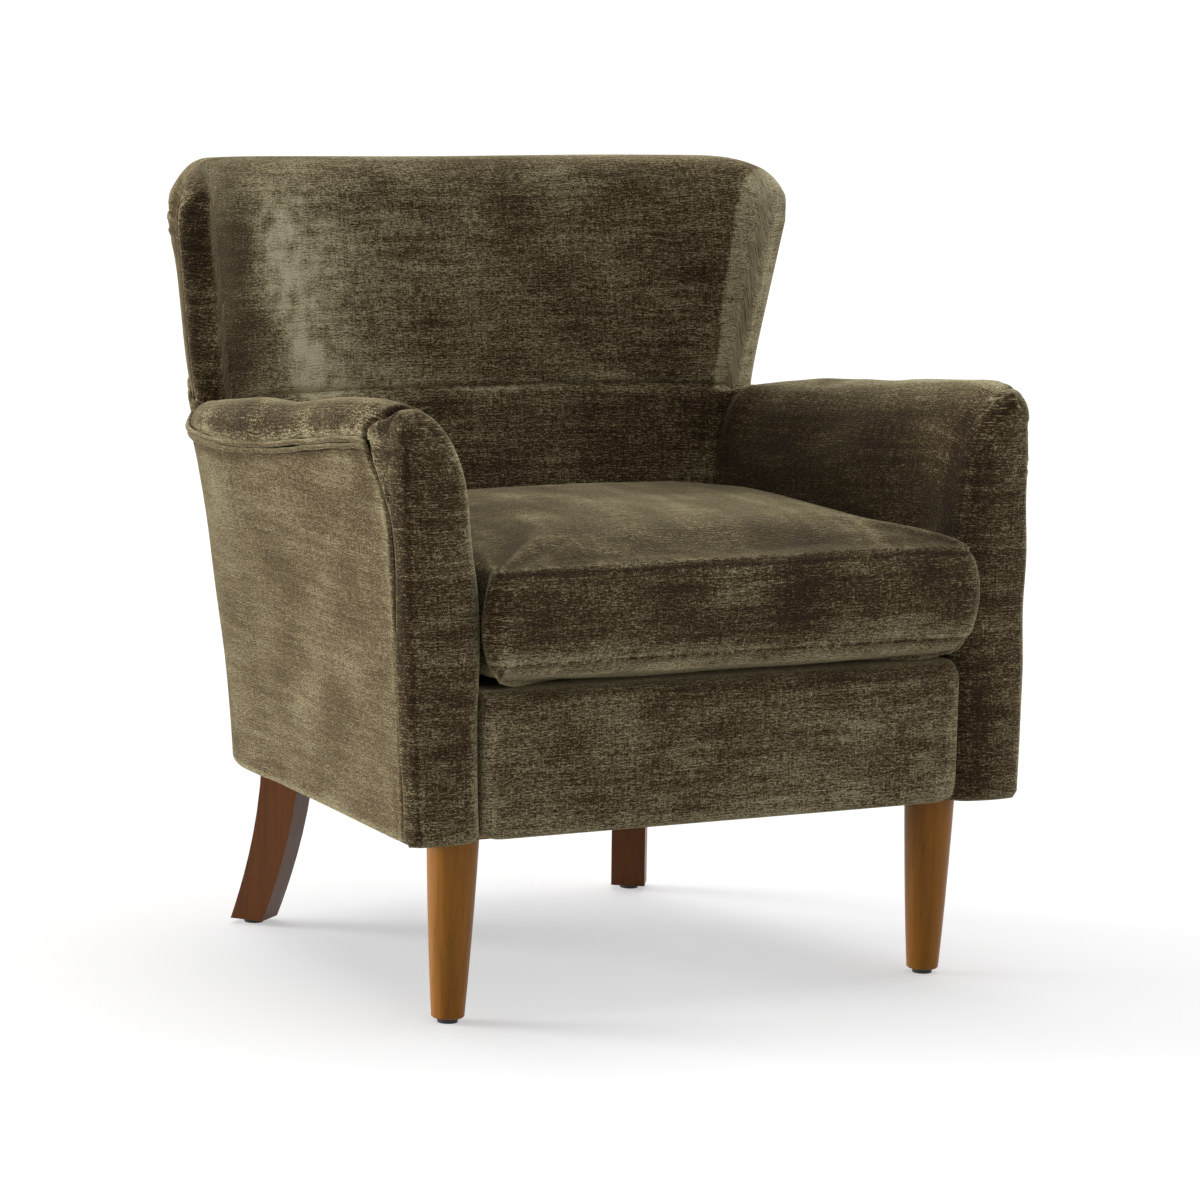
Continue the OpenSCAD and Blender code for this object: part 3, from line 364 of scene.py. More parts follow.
def olive_chenille(name, dark, mid, pale):
    """Olive chenille velvet: fuzzy weft yarns of uneven thickness over a brown ground, brushed in
    patches. Its sheen leaves it dark where it faces the eye, and a vertex attribute of painted light
    adds painted highlights along every rounded edge and painted shade where it is set."""
    made, tree = new_material(name)
    weave = first_of(tree, "ShaderNodeUVMap", (), {"uv_map": "weave"})
    # Slubs lie across the cloth, 2 mm apart and 5 to 12 mm long; loose fibres are a millimetre or less.
    # Brushed patches are 30 to 90 mm across. Each layer has its scale, detail, roughness and half range.
    layers = [((115, 620, 1), 2.0, 0.6, 0.16), ((300, 700, 1), 2.0, 0.75, 0.17),
              ((800, 1000, 1), 1.0, 0.6, 0.2), ((12, 120, 1), 4.0, 0.7, 0.16),
              ((430, 34, 1), 2.0, 0.5, 0.15), ((9, 15, 1), 6.0, 0.68, 0.2)]
    slubs, specks, fibres, streaks, warp, patches = [
        mottled(tree, weave, scale, detail, rough, 0.5 - half, 0.5 + half)
        for scale, detail, rough, half in layers]
    waves = {"Vector": weave, "Scale": 105.0, "Distortion": 3.0, "Detail": 2.0, "Detail Scale": 1.6,
             "Detail Roughness": 0.6}
    ribs = put(tree, "ShaderNodeTexWave", waves, {"bands_direction": "Y"}).outputs["Fac"]
    nap_light_level, combed = [put(tree, "ShaderNodeAttribute", (), {"attribute_name": key}).outputs["Fac"]
                      for key in ("pile", "combed")]
    yarns = weighted(tree, (slubs, 0.24), (specks, 0.34), (fibres, 0.30), (streaks, 0.17), (warp, 0.08),
                     (patches, 0.18), (ribs, 0.04))
    # Where the nap is combed one way the yarns hardly show
    average = 0.675
    off_average = weighted(tree, (yarns, 1.0), (1.0, -average))
    uncombed = weighted(tree, (1.0, 1.0), (combed, -1.0))
    uneven = first_of(tree, "ShaderNodeMath", {0: off_average, 1: uncombed}, {"operation": "MULTIPLY"})
    # The attribute's painted highlights and painted shade are added to the tone
    tone = weighted(tree, (uneven, 1.0), (nap_light_level, 0.6), (1.0, average))
    stops = [(0.0, dark), (0.33, mid), (0.83, pale), (1.0, "#ddd4b4")]
    height = weighted(tree, (slubs, 0.6), (specks, 0.6), (ribs, 0.35), (fibres, 0.3))
    surface_from(tree, {"Base Color": coloured(tree, tone, stops, 0.46, 1.16), "Roughness": 0.9,
                        "Sheen Weight": 1.0, "Sheen Roughness": 0.3, "Sheen Tint": linear("#cdc197"),
                        "Specular IOR Level": 0.2}, bumps=(height, 0.7, 0.0009))
    return made


def lacquered_wood(name, dark, mid, pale, coat, along=2):
    """Close-grained wood, stained and lacquered: fine streaks along the grain with short darker flecks."""
    made, tree = new_material(name)
    place = put(tree, "ShaderNodeTexCoord").outputs["Object"]
    # Grain streaks are about 4 mm wide, the figure 40 mm, and the pores 1.6 mm by 13 mm
    layers = [(240, 7, 4.0, 0.62, 0.0, 1.0), (26, 2.4, 4.0, 0.6, 0.0, 1.0), (620, 75, 1.0, 0.5, 0.60, 0.70)]
    patterns = []
    for across_it, along_it, detail, rough, low, high in layers:
        scale = [across_it] * 3
        scale[along] = along_it
        patterns.append(mottled(tree, place, scale, detail, rough, low, high))
    grain, figure, pores = patterns
    tone = weighted(tree, (grain, 0.5), (figure, 0.65), (pores, -0.12))
    shown = coloured(tree, tone, [(0.0, dark), (0.5, mid), (1.0, pale)], 0.25, 0.9)
    height = weighted(tree, (grain, 0.5), (pores, -0.6))
    surface_from(tree, {"Base Color": shown, "Coat Weight": coat, "Coat Roughness": 0.22,
                        "Specular IOR Level": 0.2}, bumps=(height, 0.25, 0.0003), gloss=(grain, 0.34, 0.5))
    return made


def zinc_steel(name):
    """Bright zinc-plated steel with faint cloudy staining, some 11 mm across."""
    made, tree = new_material(name)
    place = put(tree, "ShaderNodeTexCoord").outputs["Object"]
    cloud = mottled(tree, place, (90, 90, 90), 4.0, 0.6)
    shown = coloured(tree, cloud, [(0.3, "#84888b"), (0.55, "#a8acaf"), (0.8, "#bfc2c4")])
    surface_from(tree, {"Base Color": shown, "Metallic": 1.0}, gloss=(cloud, 0.28, 0.46))
    return made


def black_nylon(name):
    """Moulded nylon, dull black, with a fine pebbled skin of about 0.6 mm and scuffs."""
    made, tree = new_material(name)
    place = put(tree, "ShaderNodeTexCoord").outputs["Object"]
    scuffs = mottled(tree, place, (160, 160, 30), 4.0, 0.6)
    skin = mottled(tree, place, (1800, 1800, 1800), 1.0, 0.5)
    shown = coloured(tree, scuffs, [(0.35, "#151415"), (0.6, "#201f20"), (0.8, "#34322f")])
    surface_from(tree, {"Base Color": shown}, bumps=(skin, 0.2, 0.0002), gloss=(scuffs, 0.42, 0.6))
    return made


def woven_cloth(name, dark, pale, step, stripe=0.0):
    """Plain-woven cloth, its threads at the given step in metres, with pale stripes for webbing."""
    made, tree = new_material(name)
    place = put(tree, "ShaderNodeTexCoord").outputs["Object"]
    # A wave of scale 0.31 / step repeats once in that step
    threads = {"Vector": place, "Scale": 0.31 / step, "Distortion": 1.0, "Detail": 1.0}
    parts = [(put(tree, "ShaderNodeTexWave", threads, {"bands_direction": way}).outputs["Fac"], 0.3)
             for way in "XY"]
    parts.append((mottled(tree, place, (700, 500, 500), 3.0, 0.7), 0.7))
    if stripe:
        bands = put(tree, "ShaderNodeTexWave", {"Vector": place, "Scale": 0.31 / stripe},
                    {"bands_direction": "Z"}).outputs["Fac"]
        edges = {"Value": bands, "From Min": 0.86, "From Max": 0.9}
        parts.append((first_of(tree, "ShaderNodeMapRange", edges), 0.3))
    tone = weighted(tree, *parts)
    shown = coloured(tree, tone, [(0.0, dark), (1.0, pale)], 0.3, 1.1)
    surface_from(tree, {"Base Color": shown, "Roughness": 0.88, "Sheen Weight": 0.2,
                        "Sheen Roughness": 0.5}, bumps=(tone, 0.5, 0.0004))
    return made


OLIVE = olive_chenille("Olive chenille velvet", "#1e1105", "#4e3d22", "#c4b993")
DECK = woven_cloth("Black polypropylene deck cloth", "#141312", "#3b3834", 0.0012)
STEEL = zinc_steel("Zinc-plated steel")
FINISHES = {
    "leg_walnut": lacquered_wood("Walnut-stained beech", "#6b400c", "#965f14", "#ab7424", 0.06),
    "leg_walnut_dark": lacquered_wood("Dark walnut-stained beech", "#45260a", "#65370b", "#774312", 0.06),
    "frame_beech": lacquered_wood("Sawn beech", "#a57c4c", "#c39a66", "#d8b584", 0.0, along=0),
    "steel": STEEL,
    "glide_plastic": black_nylon("Black nylon"),
    "webbing": woven_cloth("Brown elastic webbing", "#2a1f15", "#7c6a50", 0.0016, 0.012),
    "deck_cloth": DECK,
}
for node in bpy.data.objects:
    for place in node.material_slots:
        kind = place.material.name.split(".")[0] if place.material else ""
        if kind in FINISHES:
            place.material = FINISHES[kind]


def linked(name, data):
    """An object at the origin."""
    made = bpy.data.objects.new(name, data)
    bpy.context.scene.collection.objects.link(made)
    return made


def settled(piece, kind, settings):
    """The piece with one modifier's result as its mesh."""
    added = piece.modifiers.new(kind.lower(), kind)
    for key, value in settings.items():
        setattr(added, key, value)
    bpy.context.view_layer.update()
    graph = bpy.context.evaluated_depsgraph_get()
    whole = bpy.data.meshes.new_from_object(piece.evaluated_get(graph), preserve_all_data_layers=True,
                                            depsgraph=graph)
    piece.modifiers.clear()
    piece.data = whole
    whole.name = piece.name
    return piece


def shaded_mesh(mesh, material):
    mesh.polygons.foreach_set("use_smooth", [True] * len(mesh.polygons))
    mesh.materials.append(material)


def lay_weave(mesh, places):
    """The weave's place at every vertex, in metres."""
    loops = read(mesh.loops, "vertex_index", 1, int)[:, 0]
    mesh.uv_layers.new(name="weave").uv.foreach_set("vector", places[loops].ravel())


def mesh_from(name, grids, behind, wall=2.5, material=OLIVE):
    """One mesh from grids of points in millimetres with their weave places, joined where they meet.
    Its faces point away from the given point, and it gets the cloth's thickness inwards."""
    points, places, faces = [], [], []
    for grid, weave in grids:
        rows, cols = grid.shape[:2]
        i = (np.arange(rows - 1)[:, None] * cols + np.arange(cols - 1)).ravel()
        quads = np.stack([i, i + 1, i + cols + 1, i + cols], 1)
        a, b, c, d = (grid.reshape(-1, 3)[quads[:, k]] for k in range(4))
        if (np.cross(c - a, d - b) * ((a + c) / 2 - np.array(behind))).sum() < 0:
            quads = quads[:, ::-1]
        faces.append(quads + sum(len(p) for p in points))
        points.append(grid.reshape(-1, 3))
        places.append(weave.reshape(-1, 2))
    mesh = bpy.data.meshes.new(name)
    mesh.from_pydata((np.concatenate(points) * 0.001).tolist(), [], np.concatenate(faces).tolist())
    lay_weave(mesh, np.concatenate(places) * 0.001)
    made = bmesh.new()
    made.from_mesh(mesh)
    bmesh.ops.remove_doubles(made, verts=made.verts, dist=2e-5)
    made.to_mesh(mesh)
    made.free()
    shaded_mesh(mesh, material)
    piece = linked(name, mesh)
    return settled(piece, "SOLIDIFY", {"thickness": wall * 0.001, "offset": -1.0}) if wall else piece


def paint_light_on_nap(piece, extra, calm=0.0):
    """Marks painted light on the pile: painted highlights along convex bends and painted shade in
    concave ones, plus the extra painted light and tone that the given function gives.
    Calm is how far the yarns are hidden by a combed nap."""
    mesh = piece.data
    co, out = read(mesh.vertices, "co") * 1000, read(mesh.vertices, "normal")
    a, b = read(mesh.edges, "vertices", 2, np.int32).T

    def summed(at_a, at_b):
        """The sum over every vertex's edges."""
        return np.bincount(a, at_a, len(co)) + np.bincount(b, at_b, len(co))

    step = co[b] - co[a]
    long = np.maximum((step ** 2).sum(1), 0.3)
    bent = np.clip(((out[b] - out[a]) * step).sum(1) / long, -0.1, 0.1)
    count = summed(np.ones(len(a)), np.ones(len(a)))
    value = summed(bent, bent) / np.maximum(count, 1)
    for _ in range(4):
        value = (value + summed(value[b], value[a])) / (count + 1)
    # Painted highlights on convex bends and painted shade in concave ones, plus the extra painted light
    pile = np.clip(value * 5, -0.25, 0.17) + extra(co, out)
    for name, values in (("pile", pile), ("combed", 0 * pile + calm)):
        mesh.attributes.new(name, "FLOAT", "POINT").data.foreach_set("value", values.astype(np.float32))
    return piece


def dress(piece, *nodes, slot="olive_chenille", fill=0.8, calm=0.0):
    """A padded piece on the chair that stands for these nodes."""
    if slot == "olive_chenille":
        paint_light_on_nap(piece, welt_light if "piping" in nodes[0] else cover_light_and_nap, calm)
    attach(piece, "chair")
    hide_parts(*nodes)


# Behind this the arms' covers are hidden by the back
ARM_REAR_Y = 182


def cover_light_and_nap(co, out):
    """Painted light on the covers, with some uneven nap: a painted sheen band inside one wing, painted
    highlights on rounded rims, and painted shade beside them and inside the far arm."""
    x, y, z = co.T
    side = np.sign(x)
    inward, front = -out[:, 0] * side, y < -285
    back = (out[:, 1] < -0.3) & (y > 100)
    # Painted sheen: a band leans across the back from x = -222 at z = 745, and is palest along its
    # core. Painted shade darkens the back towards the near wing's edge, and the upper back is a little
    # paler, most near its middle.
    off = x + 222 - (745 - z) * 0.24
    band = bell(off, np.where(off > 0, 66, 40)) * rise(z - 535, 40) * rise(812 - z, 70)
    patchy_light_and_tone = 0.85 + 0.15 * ripple(co, 34, 101) + 0.25 * ripple(co, 12, 102)
    shade = rise(-x - 248, 50) * rise(775 - z, 60)
    core = bell(off, 26) * rise(z - 560, 40) * rise(780 - z, 60)
    broad = (0.06 + 0.07 * bell(x + 70, 120)) * rise(z - 550, 30) - 0.02 + 0.06 * ripple(co, 55, 103)
    value = np.where(back, (0.60 * band + 0.22 * core) * patchy_light_and_tone - 0.17 * shade + broad, 0)
    # On the rolls, painted shading of gathers runs from the crest down to the welts, and the near roll is
    # painted darker
    crest = crest_z(y)
    roll = rise(z - crest + 40, 22) * rise(abs(x) - 338, 14) * (y < ARM_REAR_Y) * (1 - front)
    gathers = 0.10 * ripple(co * np.array([0.3, 1, 0.3]), 20, 104) + 0.06 * ripple(co, 45, 105)
    value += roll * (np.where(x < 0, -0.15, 0.0) + gathers)
    # A painted highlight along the far arm's crest, and painted shade along the foot of each roll just above
    # the welts
    value += 0.38 * (x > 0) * rise(z - crest + 8, 7) * (y < 175)
    value -= 0.12 * roll * bell(z - roll_low_z(y) - 1, 4)
    # Painted shade on the far arm's inner face, which leans away from the light
    inner = (x > 270) & (y < ARM_REAR_Y) & (y > -300) & (z > 330)
    value -= np.where(inner, 0.24 * rise(inward - 0.3, 0.3) * rise(crest - 6 - z, 34), 0)
    value += np.where(inner, 0.05 * ripple(co, 60, 106), 0)
    # The arm's front gets painted shade on its face, painted highlights along a rim of each arm, and painted
    # shade by the near arm's seam and by the far arm's cushion side
    beside = abs(x) > SEAT_W / 2 + 2
    face = rise(-out[:, 1] - 0.55, 0.3) * beside * (y < -270)
    value += face * (-0.05 - 0.07 * rise(z - 500, 50) + 0.05 * ripple(co, 50, 107))
    front_edge = beside & (y < -268)
    ahead = rise(arm_face_y(z) + FACING_T + seam_back(z) + 9 - y, 12)
    near_rim = 0.24 * bell(inward - 0.7, 0.25) * (z < 575) - 0.26 * rise(-inward - 0.15, 0.4) * ahead
    far_rim = 0.20 * bell(inward + 0.75, 0.25) - 0.16 * rise(330 - x, 30)
    value += np.where(front_edge, np.where(x < 0, near_rim, far_rim), 0)
    # The front rail is painted paler overall, with painted shadow from the cushion along its top
    rail = ~beside & (y < -300) & (z < DECK_Z - 1)
    value += rail * (0.08 - 0.22 * rise(z - 296, 34) + 0.05 * ripple(co, 60, 108))
    # The sides are a little paler with uneven patches, and have painted shade in a line under the welts
    panel = (abs(x) > 315) & (abs(out[:, 0]) > 0.5) & (z < piping_z(y) + 2) & (y < 190) & (y > -290)
    value += np.where(panel, 0.08 + 0.04 * ripple(co, 50, 109) - 0.24 * bell(z - piping_z(y) + 5, 5), 0)
    return value


def welt_light(co, out):
    """The welts: a painted highlight on top and painted shade underneath."""
    return 0.14 * out[:, 2] - 0.08


def cushion_light_and_tone(co, out):
    """The seat cushion's painted light and tone: streaks from front to back on its top, painted shade on the
    boxing and along the seams, and a painted highlight on its lower rim.
    """
    x, y, z = co.T
    top = rise(out[:, 2] - 0.4, 0.4)
    low = rise(-out[:, 2] - 0.1, 0.4)
    streaks = 0.12 * ripple(co * np.array([1, 0.45, 1]), 42, 111)
    streaks += 0.09 * ripple(co * np.array([1, 0.4, 1]), 15, 112)
    patchy_light_and_tone = 0.07 * ripple(co, 45, 113) - 0.06
    # The top is darker towards its front, the boxing is uneven and darker with painted shade, and the
    # underside has a painted highlight
    value = top * (streaks - 0.02 - 0.10 * rise(-190 - y, 90)) + (1 - top) * patchy_light_and_tone + 0.22 * low
    # A painted highlight on the front corners' right sides and painted shade on their left
    corners = (1 - top) * (y < -290)
    value += 0.16 * bell(out[:, 0] - 0.8, 0.2) * corners - 0.07 * (1 - top) * (1 - low)
    value -= 0.14 * bell(out[:, 0] + 0.7, 0.3) * corners
    # Painted shade along both seams
    return value - 0.28 * bell(z - SEAM_LOW, 1.4) - 0.22 * bell(z - high_seam(y), 1.4)


def crowded(n):
    """Shares from -1 to 1 that crowd towards both ends."""
    return np.sin(np.linspace(-math.pi / 2, math.pi / 2, n))


def edge_rows(low_steps, rows, high_steps, run, roll=EDGE_ROLL):
    """Shares from 0 to 1: given steps in millimetres first, then even rows, then a rounded edge."""
    low = np.array(low_steps) / run
    turn = 1 - roll / run * (1 - np.sin(np.linspace(0, math.pi / 2, high_steps)))
    even = np.linspace(low[-1], turn[0], rows + 2)[1:-1]
    return np.concatenate([low, even, turn])


SEAM_STEPS = [0, 0.8, 1.8, 3, 5, 8, 12]


def inside_back():
    """The cover of the inside back and wings, from its cross seam over the top to the edge seam."""
    s = crowded(171)[None, :]
    v = edge_rows(SEAM_STEPS, 28, 22, CHAIR_H - BACK_SEAM_Z, INSIDE_ROLL)[:, None]
    low = BACK_SEAM_Z + TOUCH - 32 * rise(abs(s) * WING_LOW_X - 306, 12)
    top = crest_back(s * WING_X)
    z = mix(low, top, v)
    x = s * wing_out_x(z)
    d = np.minimum(wing_out_x(z) - abs(x), top - z)
    up = z - low
    y = inside_y(x, z) + rolled(d, edge_y(x, z) - inside_y(x, z) - TOUCH, INSIDE_ROLL)
    grid = points_of(x, y, z)
    out = outward(grid, (0, 300, 690))
    inner = rise(wing_out_x(z) - abs(x), 40)
    lift = 1.4 * ripple(grid, 70, 3) * rise(up, 40) * inner * rise(top - z, 30)
    lift -= (4.5 * bell(up, 2.2) + 1.6 * bell(up, 7)) * (1 + 0.25 * ripple(grid, 18, 5))
    grid = grid + out * lift[..., None]
    return mesh_from("inside_back_cover", [(grid, middle_weave(grid))], (0, 300, 690))


def middle_weave(grid):
    """Weave places measured from the middle column outwards, and up the cloth."""
    across = lengths(grid, 1, [0, 1])
    return np.stack([across - across[:, [grid.shape[1] // 2]], lengths(grid, 0, [1, 2])], -1)


def points_of(x, y, z):
    """One grid of points from coordinates of any matching shapes."""
    return np.stack(np.broadcast_arrays(x, y, z), -1).astype(float)


def lumbar():
    """The band between the arms, from under the cushion up to the cross seam."""
    seam = 1 - np.array(SEAM_STEPS[::-1]) / (BACK_SEAM_Z - LUMBAR_LOW)
    v = np.concatenate([np.linspace(0, 0.93, 34), seam])[:, None]
    z = mix(LUMBAR_LOW, BACK_SEAM_Z, v)
    # It runs on behind the arms by 13 mm
    behind_arm = 13
    half = np.minimum(arm_in_x(ARM_END_Y, z), wing_out_x(z) - 16) + behind_arm
    t = np.linspace(-1, 1, 131)[None, :]
    t = np.sign(t) * abs(t) ** 0.9
    x = t * half
    d = half - behind_arm - abs(x)
    y = inside_y(x, z) + 2.5 * bell(d, 8)
    grid = points_of(x, y, z)
    down = BACK_SEAM_Z - z
    lift = 1.6 * ripple(grid, 80, 11) * rise(d, 30) * rise(down, 30)
    lift -= (4.5 * bell(down, 2.2) + 1.6 * bell(down, 7)) * (1 + 0.2 * ripple(grid, 18, 6))
    grid[..., 1] -= lift
    # A short fold runs out of the left arm into the band, just under the seam
    away, share = distance_to(grid[..., [0, 2]], [(300, 548), (286, 560), (268, 563), (246, 562)])
    grid[..., 1] += 3.4 * bell(away, 2.6) * (1 - share) - 1.8 * bell(away - 6, 4) * (1 - share)
    weave = np.stack(np.broadcast_arrays(x, z), -1)
    return mesh_from("lumbar_cover", [(grid, weave)], (0, 260, 450))


# The arm's rows lie at shares of its wall, then at angles up to the crest, with one at the roll's foot
WALL_LEVELS = np.linspace(0, 1, 44)[:-1]
ROLL_RISE = crest_z(RAIL_Y + FACING_T) - roll_low_z(RAIL_Y + FACING_T)
FOOT_ANGLE = math.asin(1 - ROLL_RISE / ARM_ARC_H)
DOME = np.concatenate([np.linspace(0, FOOT_ANGLE, 14)[:-1], np.linspace(FOOT_ANGLE, math.pi / 2, 24)])
ROLL_FIRST = 13
ROWS = len(WALL_LEVELS) + len(DOME)


def inner_side(y, inset):
    """x and height of the arm's inner side at every level, from the hem to the crest."""
    top = crest_z(y)
    foot = top - ARM_ARC_H
    crest = roll_x(y) - ROLL_REACH
    z_wall = mix(HEM_Z, foot, WALL_LEVELS)
    wall = wall_x(foot) + inset
    return (np.concatenate([wall_x(z_wall) + inset, crest - (crest - wall) * np.cos(DOME)]),
            np.concatenate([z_wall, foot + (ARM_ARC_H - inset) * np.sin(DOME)]))


def roll_side(y, inset):
    """x and height of the roll at the dome's upper levels, from its foot to the crest."""
    top, low = crest_z(y), roll_low_z(y)
    share = (1 - np.sin(DOME[ROLL_FIRST:])) / (1 - math.sin(FOOT_ANGLE))
    turn = np.arccos(np.clip(1 - share * (1 - math.cos(ROLL_TURN)), -1, 1))
    crest = roll_x(y) - ROLL_REACH
    return crest + max(1, ROLL_REACH - inset) * np.sin(turn), top - share * (top - low) - inset * np.cos(turn)


def outer_side(inset, y=None):
    """x of the front's outer side at every level: the side, the throat under the roll, the roll."""
    y0 = RAIL_Y + FACING_T
    y = y0 if y is None else y
    z = inner_side(y0, 0)[1]
    low = piping_z(y) - 20
    side = side_x(y, z)
    roll, _ = roll_side(y, inset)
    out = np.empty(len(z))
    first = len(WALL_LEVELS) + ROLL_FIRST
    out[first:] = roll
    start = side_x(y, low)
    throat = smooth((z[:first] - low) / (z[first] - low)) ** 1.3
    out[:first] = mix(np.minimum(side[:first], start) - inset, roll[0], throat)
    return out


# The strip behind the arm's face is so wide at each height
BACK_Z = [HEM_Z, 395, 470, 497, 521, 543, 553, 566, 640]
BACK_BY = [0, 1, 5, 8, 14, 26, 34, 42, 42]
# The crease that closes the roll's front, from the crest round to the end of the piping
CREASE = [(350, -287, 613), (362, -279, 612), (374, -278, 609), (381, -275, 606), (385, -266, 601),
          (388, -256, 594), (388, -249, 585), (386, -246, 576), (383, -247, 566), (381, -255, 552)]
PLEATS = [[(383, -262, 560), (384, -290, 567), (380, -310, 573), (364, -324, 578)],
          [(381, -285, 524), (380, -302, 530), (374, -318, 534), (360, -324, 534)]]


def seam_back(z):
    return np.interp(z, BACK_Z, BACK_BY)


def laid_on(line, points):
    """A bent line drawn on a surface: even points along it, each moved to the nearest surface point."""
    line = np.array(line, float)
    run = run_of(line)
    at = np.linspace(0, run[-1], max(6, int(run[-1] / 4)))
    even = np.stack([np.interp(at, run, line[:, k]) for k in range(3)], -1)
    near = np.linalg.norm(even[:, None] - points[None], axis=-1).argmin(1)
    laid = points[near]
    soft = laid.copy()
    soft[1:-1] = (laid[:-2] + laid[1:-1] * 2 + laid[2:]) / 4
    return soft


def front_folds(grid, points):
    """How much the crease, the pleats and the gathers beside them lower a point of the arm."""
    away, share = distance_to(grid, laid_on(CREASE, points))
    bite = (5.2 * bell(away, 2.0) + 1.6 * bell(away, 5)) * smooth(share * 4 + 0.3)
    x, y, z = grid[..., 0], grid[..., 1], grid[..., 2]
    bite -= 1.2 * bell(away - 7, 4.5) * rise(-262 - y + 0.5 * (z - 590), 8)
    for line in PLEATS:
        d, passed = distance_to(grid, laid_on(line, points))
        fade = 1 - smooth(passed * 1.15 - 0.15)
        bite += (3.2 * bell(d, 2.0) - 1.3 * bell(d - 6, 3.5)) * fade
    # Gathers fan out from the crease over the roll behind it
    behind_it = rise(y + 262, 14) * rise(x - 366, 10)
    fan = np.sin((0.62 * y + 0.9 * z + 0.004 * (y + 240) ** 2) * 0.62 + 1.6 * ripple(grid, 34, 71))
    bite += 0.5 * fan * behind_it * np.exp(-np.maximum(0, away - 4) / 26)
    return bite


def rim(radius, turn):
    """How far a rim of the arm's front has drawn in and gone back, at that angle round it."""
    proud = 7.0
    return radius * (1 - math.cos(turn)), FACING_T - (FACING_T + proud) * math.sin(turn)


def bulged(grid):
    """The stuffing swells the front of the arm towards the seat."""
    x, y, z = (grid[..., k] for k in range(3))
    fuller = rise(-215 - y, 70) * bell(z - 440, 72) * rise(335 - x, 45)
    return grid - np.stack([9 * fuller, 0 * y, 0 * z], -1)


def arm_body(y0, first, seed):
    """The inner side and the roll, in columns along the arm: its grid, how far each point is lifted,
    and how far it drops where the roll runs into the back."""
    y_end = ARM_END_Y + 14
    shares = np.concatenate([np.linspace(0, 0.08, 14)[:-1], np.linspace(0.08, 0.82, 84)[:-1],
                             np.linspace(0.82, 1, 46)])
    tuck = np.array([1.5, 4, 8])
    columns = []
    for share in shares:
        # The face leans back by 24 mm at the roll, which only the last columns take up
        y = mix(y_end, y0 + 24 * (1 - rise(share - 0.84, 0.16)), share)
        x_in, z_in = inner_side(y, 0)
        x_out, z_out = roll_side(y, 0)
        crest = x_in[-1]
        x_out = crest + (x_out - crest) * mix(0.25, 1, arch(y_end - y, 34))
        xs = np.concatenate([x_in[first:], x_out[::-1][1:], x_out[0] - tuck * 1.4])
        zs = np.concatenate([z_in[first:], z_out[::-1][1:], z_out[0] - tuck * 0.5])
        columns.append(np.stack([xs, mix(y_end, arm_face_y(zs) + FACING_T, share), zs], -1))
    body = np.stack(columns, 1)
    x, y, z = body[..., 0], body[..., 1], body[..., 2]
    rear = y_end - y
    lift = 1.5 * ripple(body, 75, seed) * rise(y + 290, 60) * rise(rear, 30)
    lift -= rolled(rear, 2.5, 14)
    # The stuffing is fullest behind the middle of the roll, which then drops into the back
    upper = rise(z - crest_z(y) + 60, 50)
    lift += upper * 6 * rise(y + 90, 90) * (1 - rise(y - 55, 80))
    crest_x = roll_x(y) - ROLL_REACH
    drop = 17 * limit((y - 108) / 68) ** 2 * (upper * rise(x - crest_x + 22, 22))
    # Small gathers stand on the roll above the piping
    gather = ripple(body * np.array([0.15, 1, 0.15]), 15, seed + 4)
    low = roll_low_z(y)
    outer = np.arange(body.shape[0])[:, None] >= ROWS - first
    above = np.where(outer, smooth(1 - (z - low) / 26), 0)
    lift += above * (1.3 * gather - 0.3) * rise(y + 250, 30)
    lift -= np.where(outer, 2.0 * bell(z - low, 2.5) * rise(y + 252, 12), 0)
    return body, lift, drop


def arm_front(base_z, y0):
    """The padded front, in columns from its inner edge round over the face to the outer edge and back to
    its seam: its grid, the column where the strip behind the face begins, and that strip's columns."""
    r_in, r_out, face_steps, strip_steps = 24.0, 15.0, 30, 22
    inner_cols, outer_cols = [], []
    for turn in np.linspace(0, math.radians(72), 13):
        inset, back = rim(r_in, turn)
        x_in, z_in = inner_side(y0, inset)
        inner_cols.append(np.stack([x_in, arm_face_y(base_z) + back, z_in], -1))
        inset, back = rim(r_out, turn)
        keep = inner_side(y0, inset * r_in / r_out)[1]
        outer_cols.append(np.stack([outer_side(inset), arm_face_y(base_z) + back, keep], -1))
    # Between its rims the face swells forward by up to 3 mm
    a, b = inner_cols[-1], outer_cols[-1]
    middle = [mix(a, b, s) - np.array([0, 12.0, 0]) * s * (1 - s)
              for s in np.linspace(0, 1, face_steps)[1:-1]]
    strip = []
    for step in np.linspace(0, 1, strip_steps)[1:]:
        deep = seam_back(base_z) * step
        deep[len(WALL_LEVELS) + ROLL_FIRST + 1:] = 0
        x_at = np.array([outer_side(0, y0 + d)[k] for k, d in enumerate(deep)])
        strip.append(np.stack([np.where(deep > 0, x_at, outer_side(0)),
                               arm_face_y(base_z) + FACING_T + deep, base_z], -1))
    front = np.stack(inner_cols + middle + outer_cols[::-1] + strip, 1)
    # The top row closes on itself along the crest
    cols_in = len(inner_cols)
    face_end = cols_in * 2 + len(middle)
    top_line = front[-1, :cols_in].copy()
    front[-1, cols_in:face_end - cols_in] = top_line[-1]
    front[-1, face_end - cols_in:face_end] = top_line[::-1]
    front[-1, face_end:] = top_line[0]
    return front, face_end, len(strip)


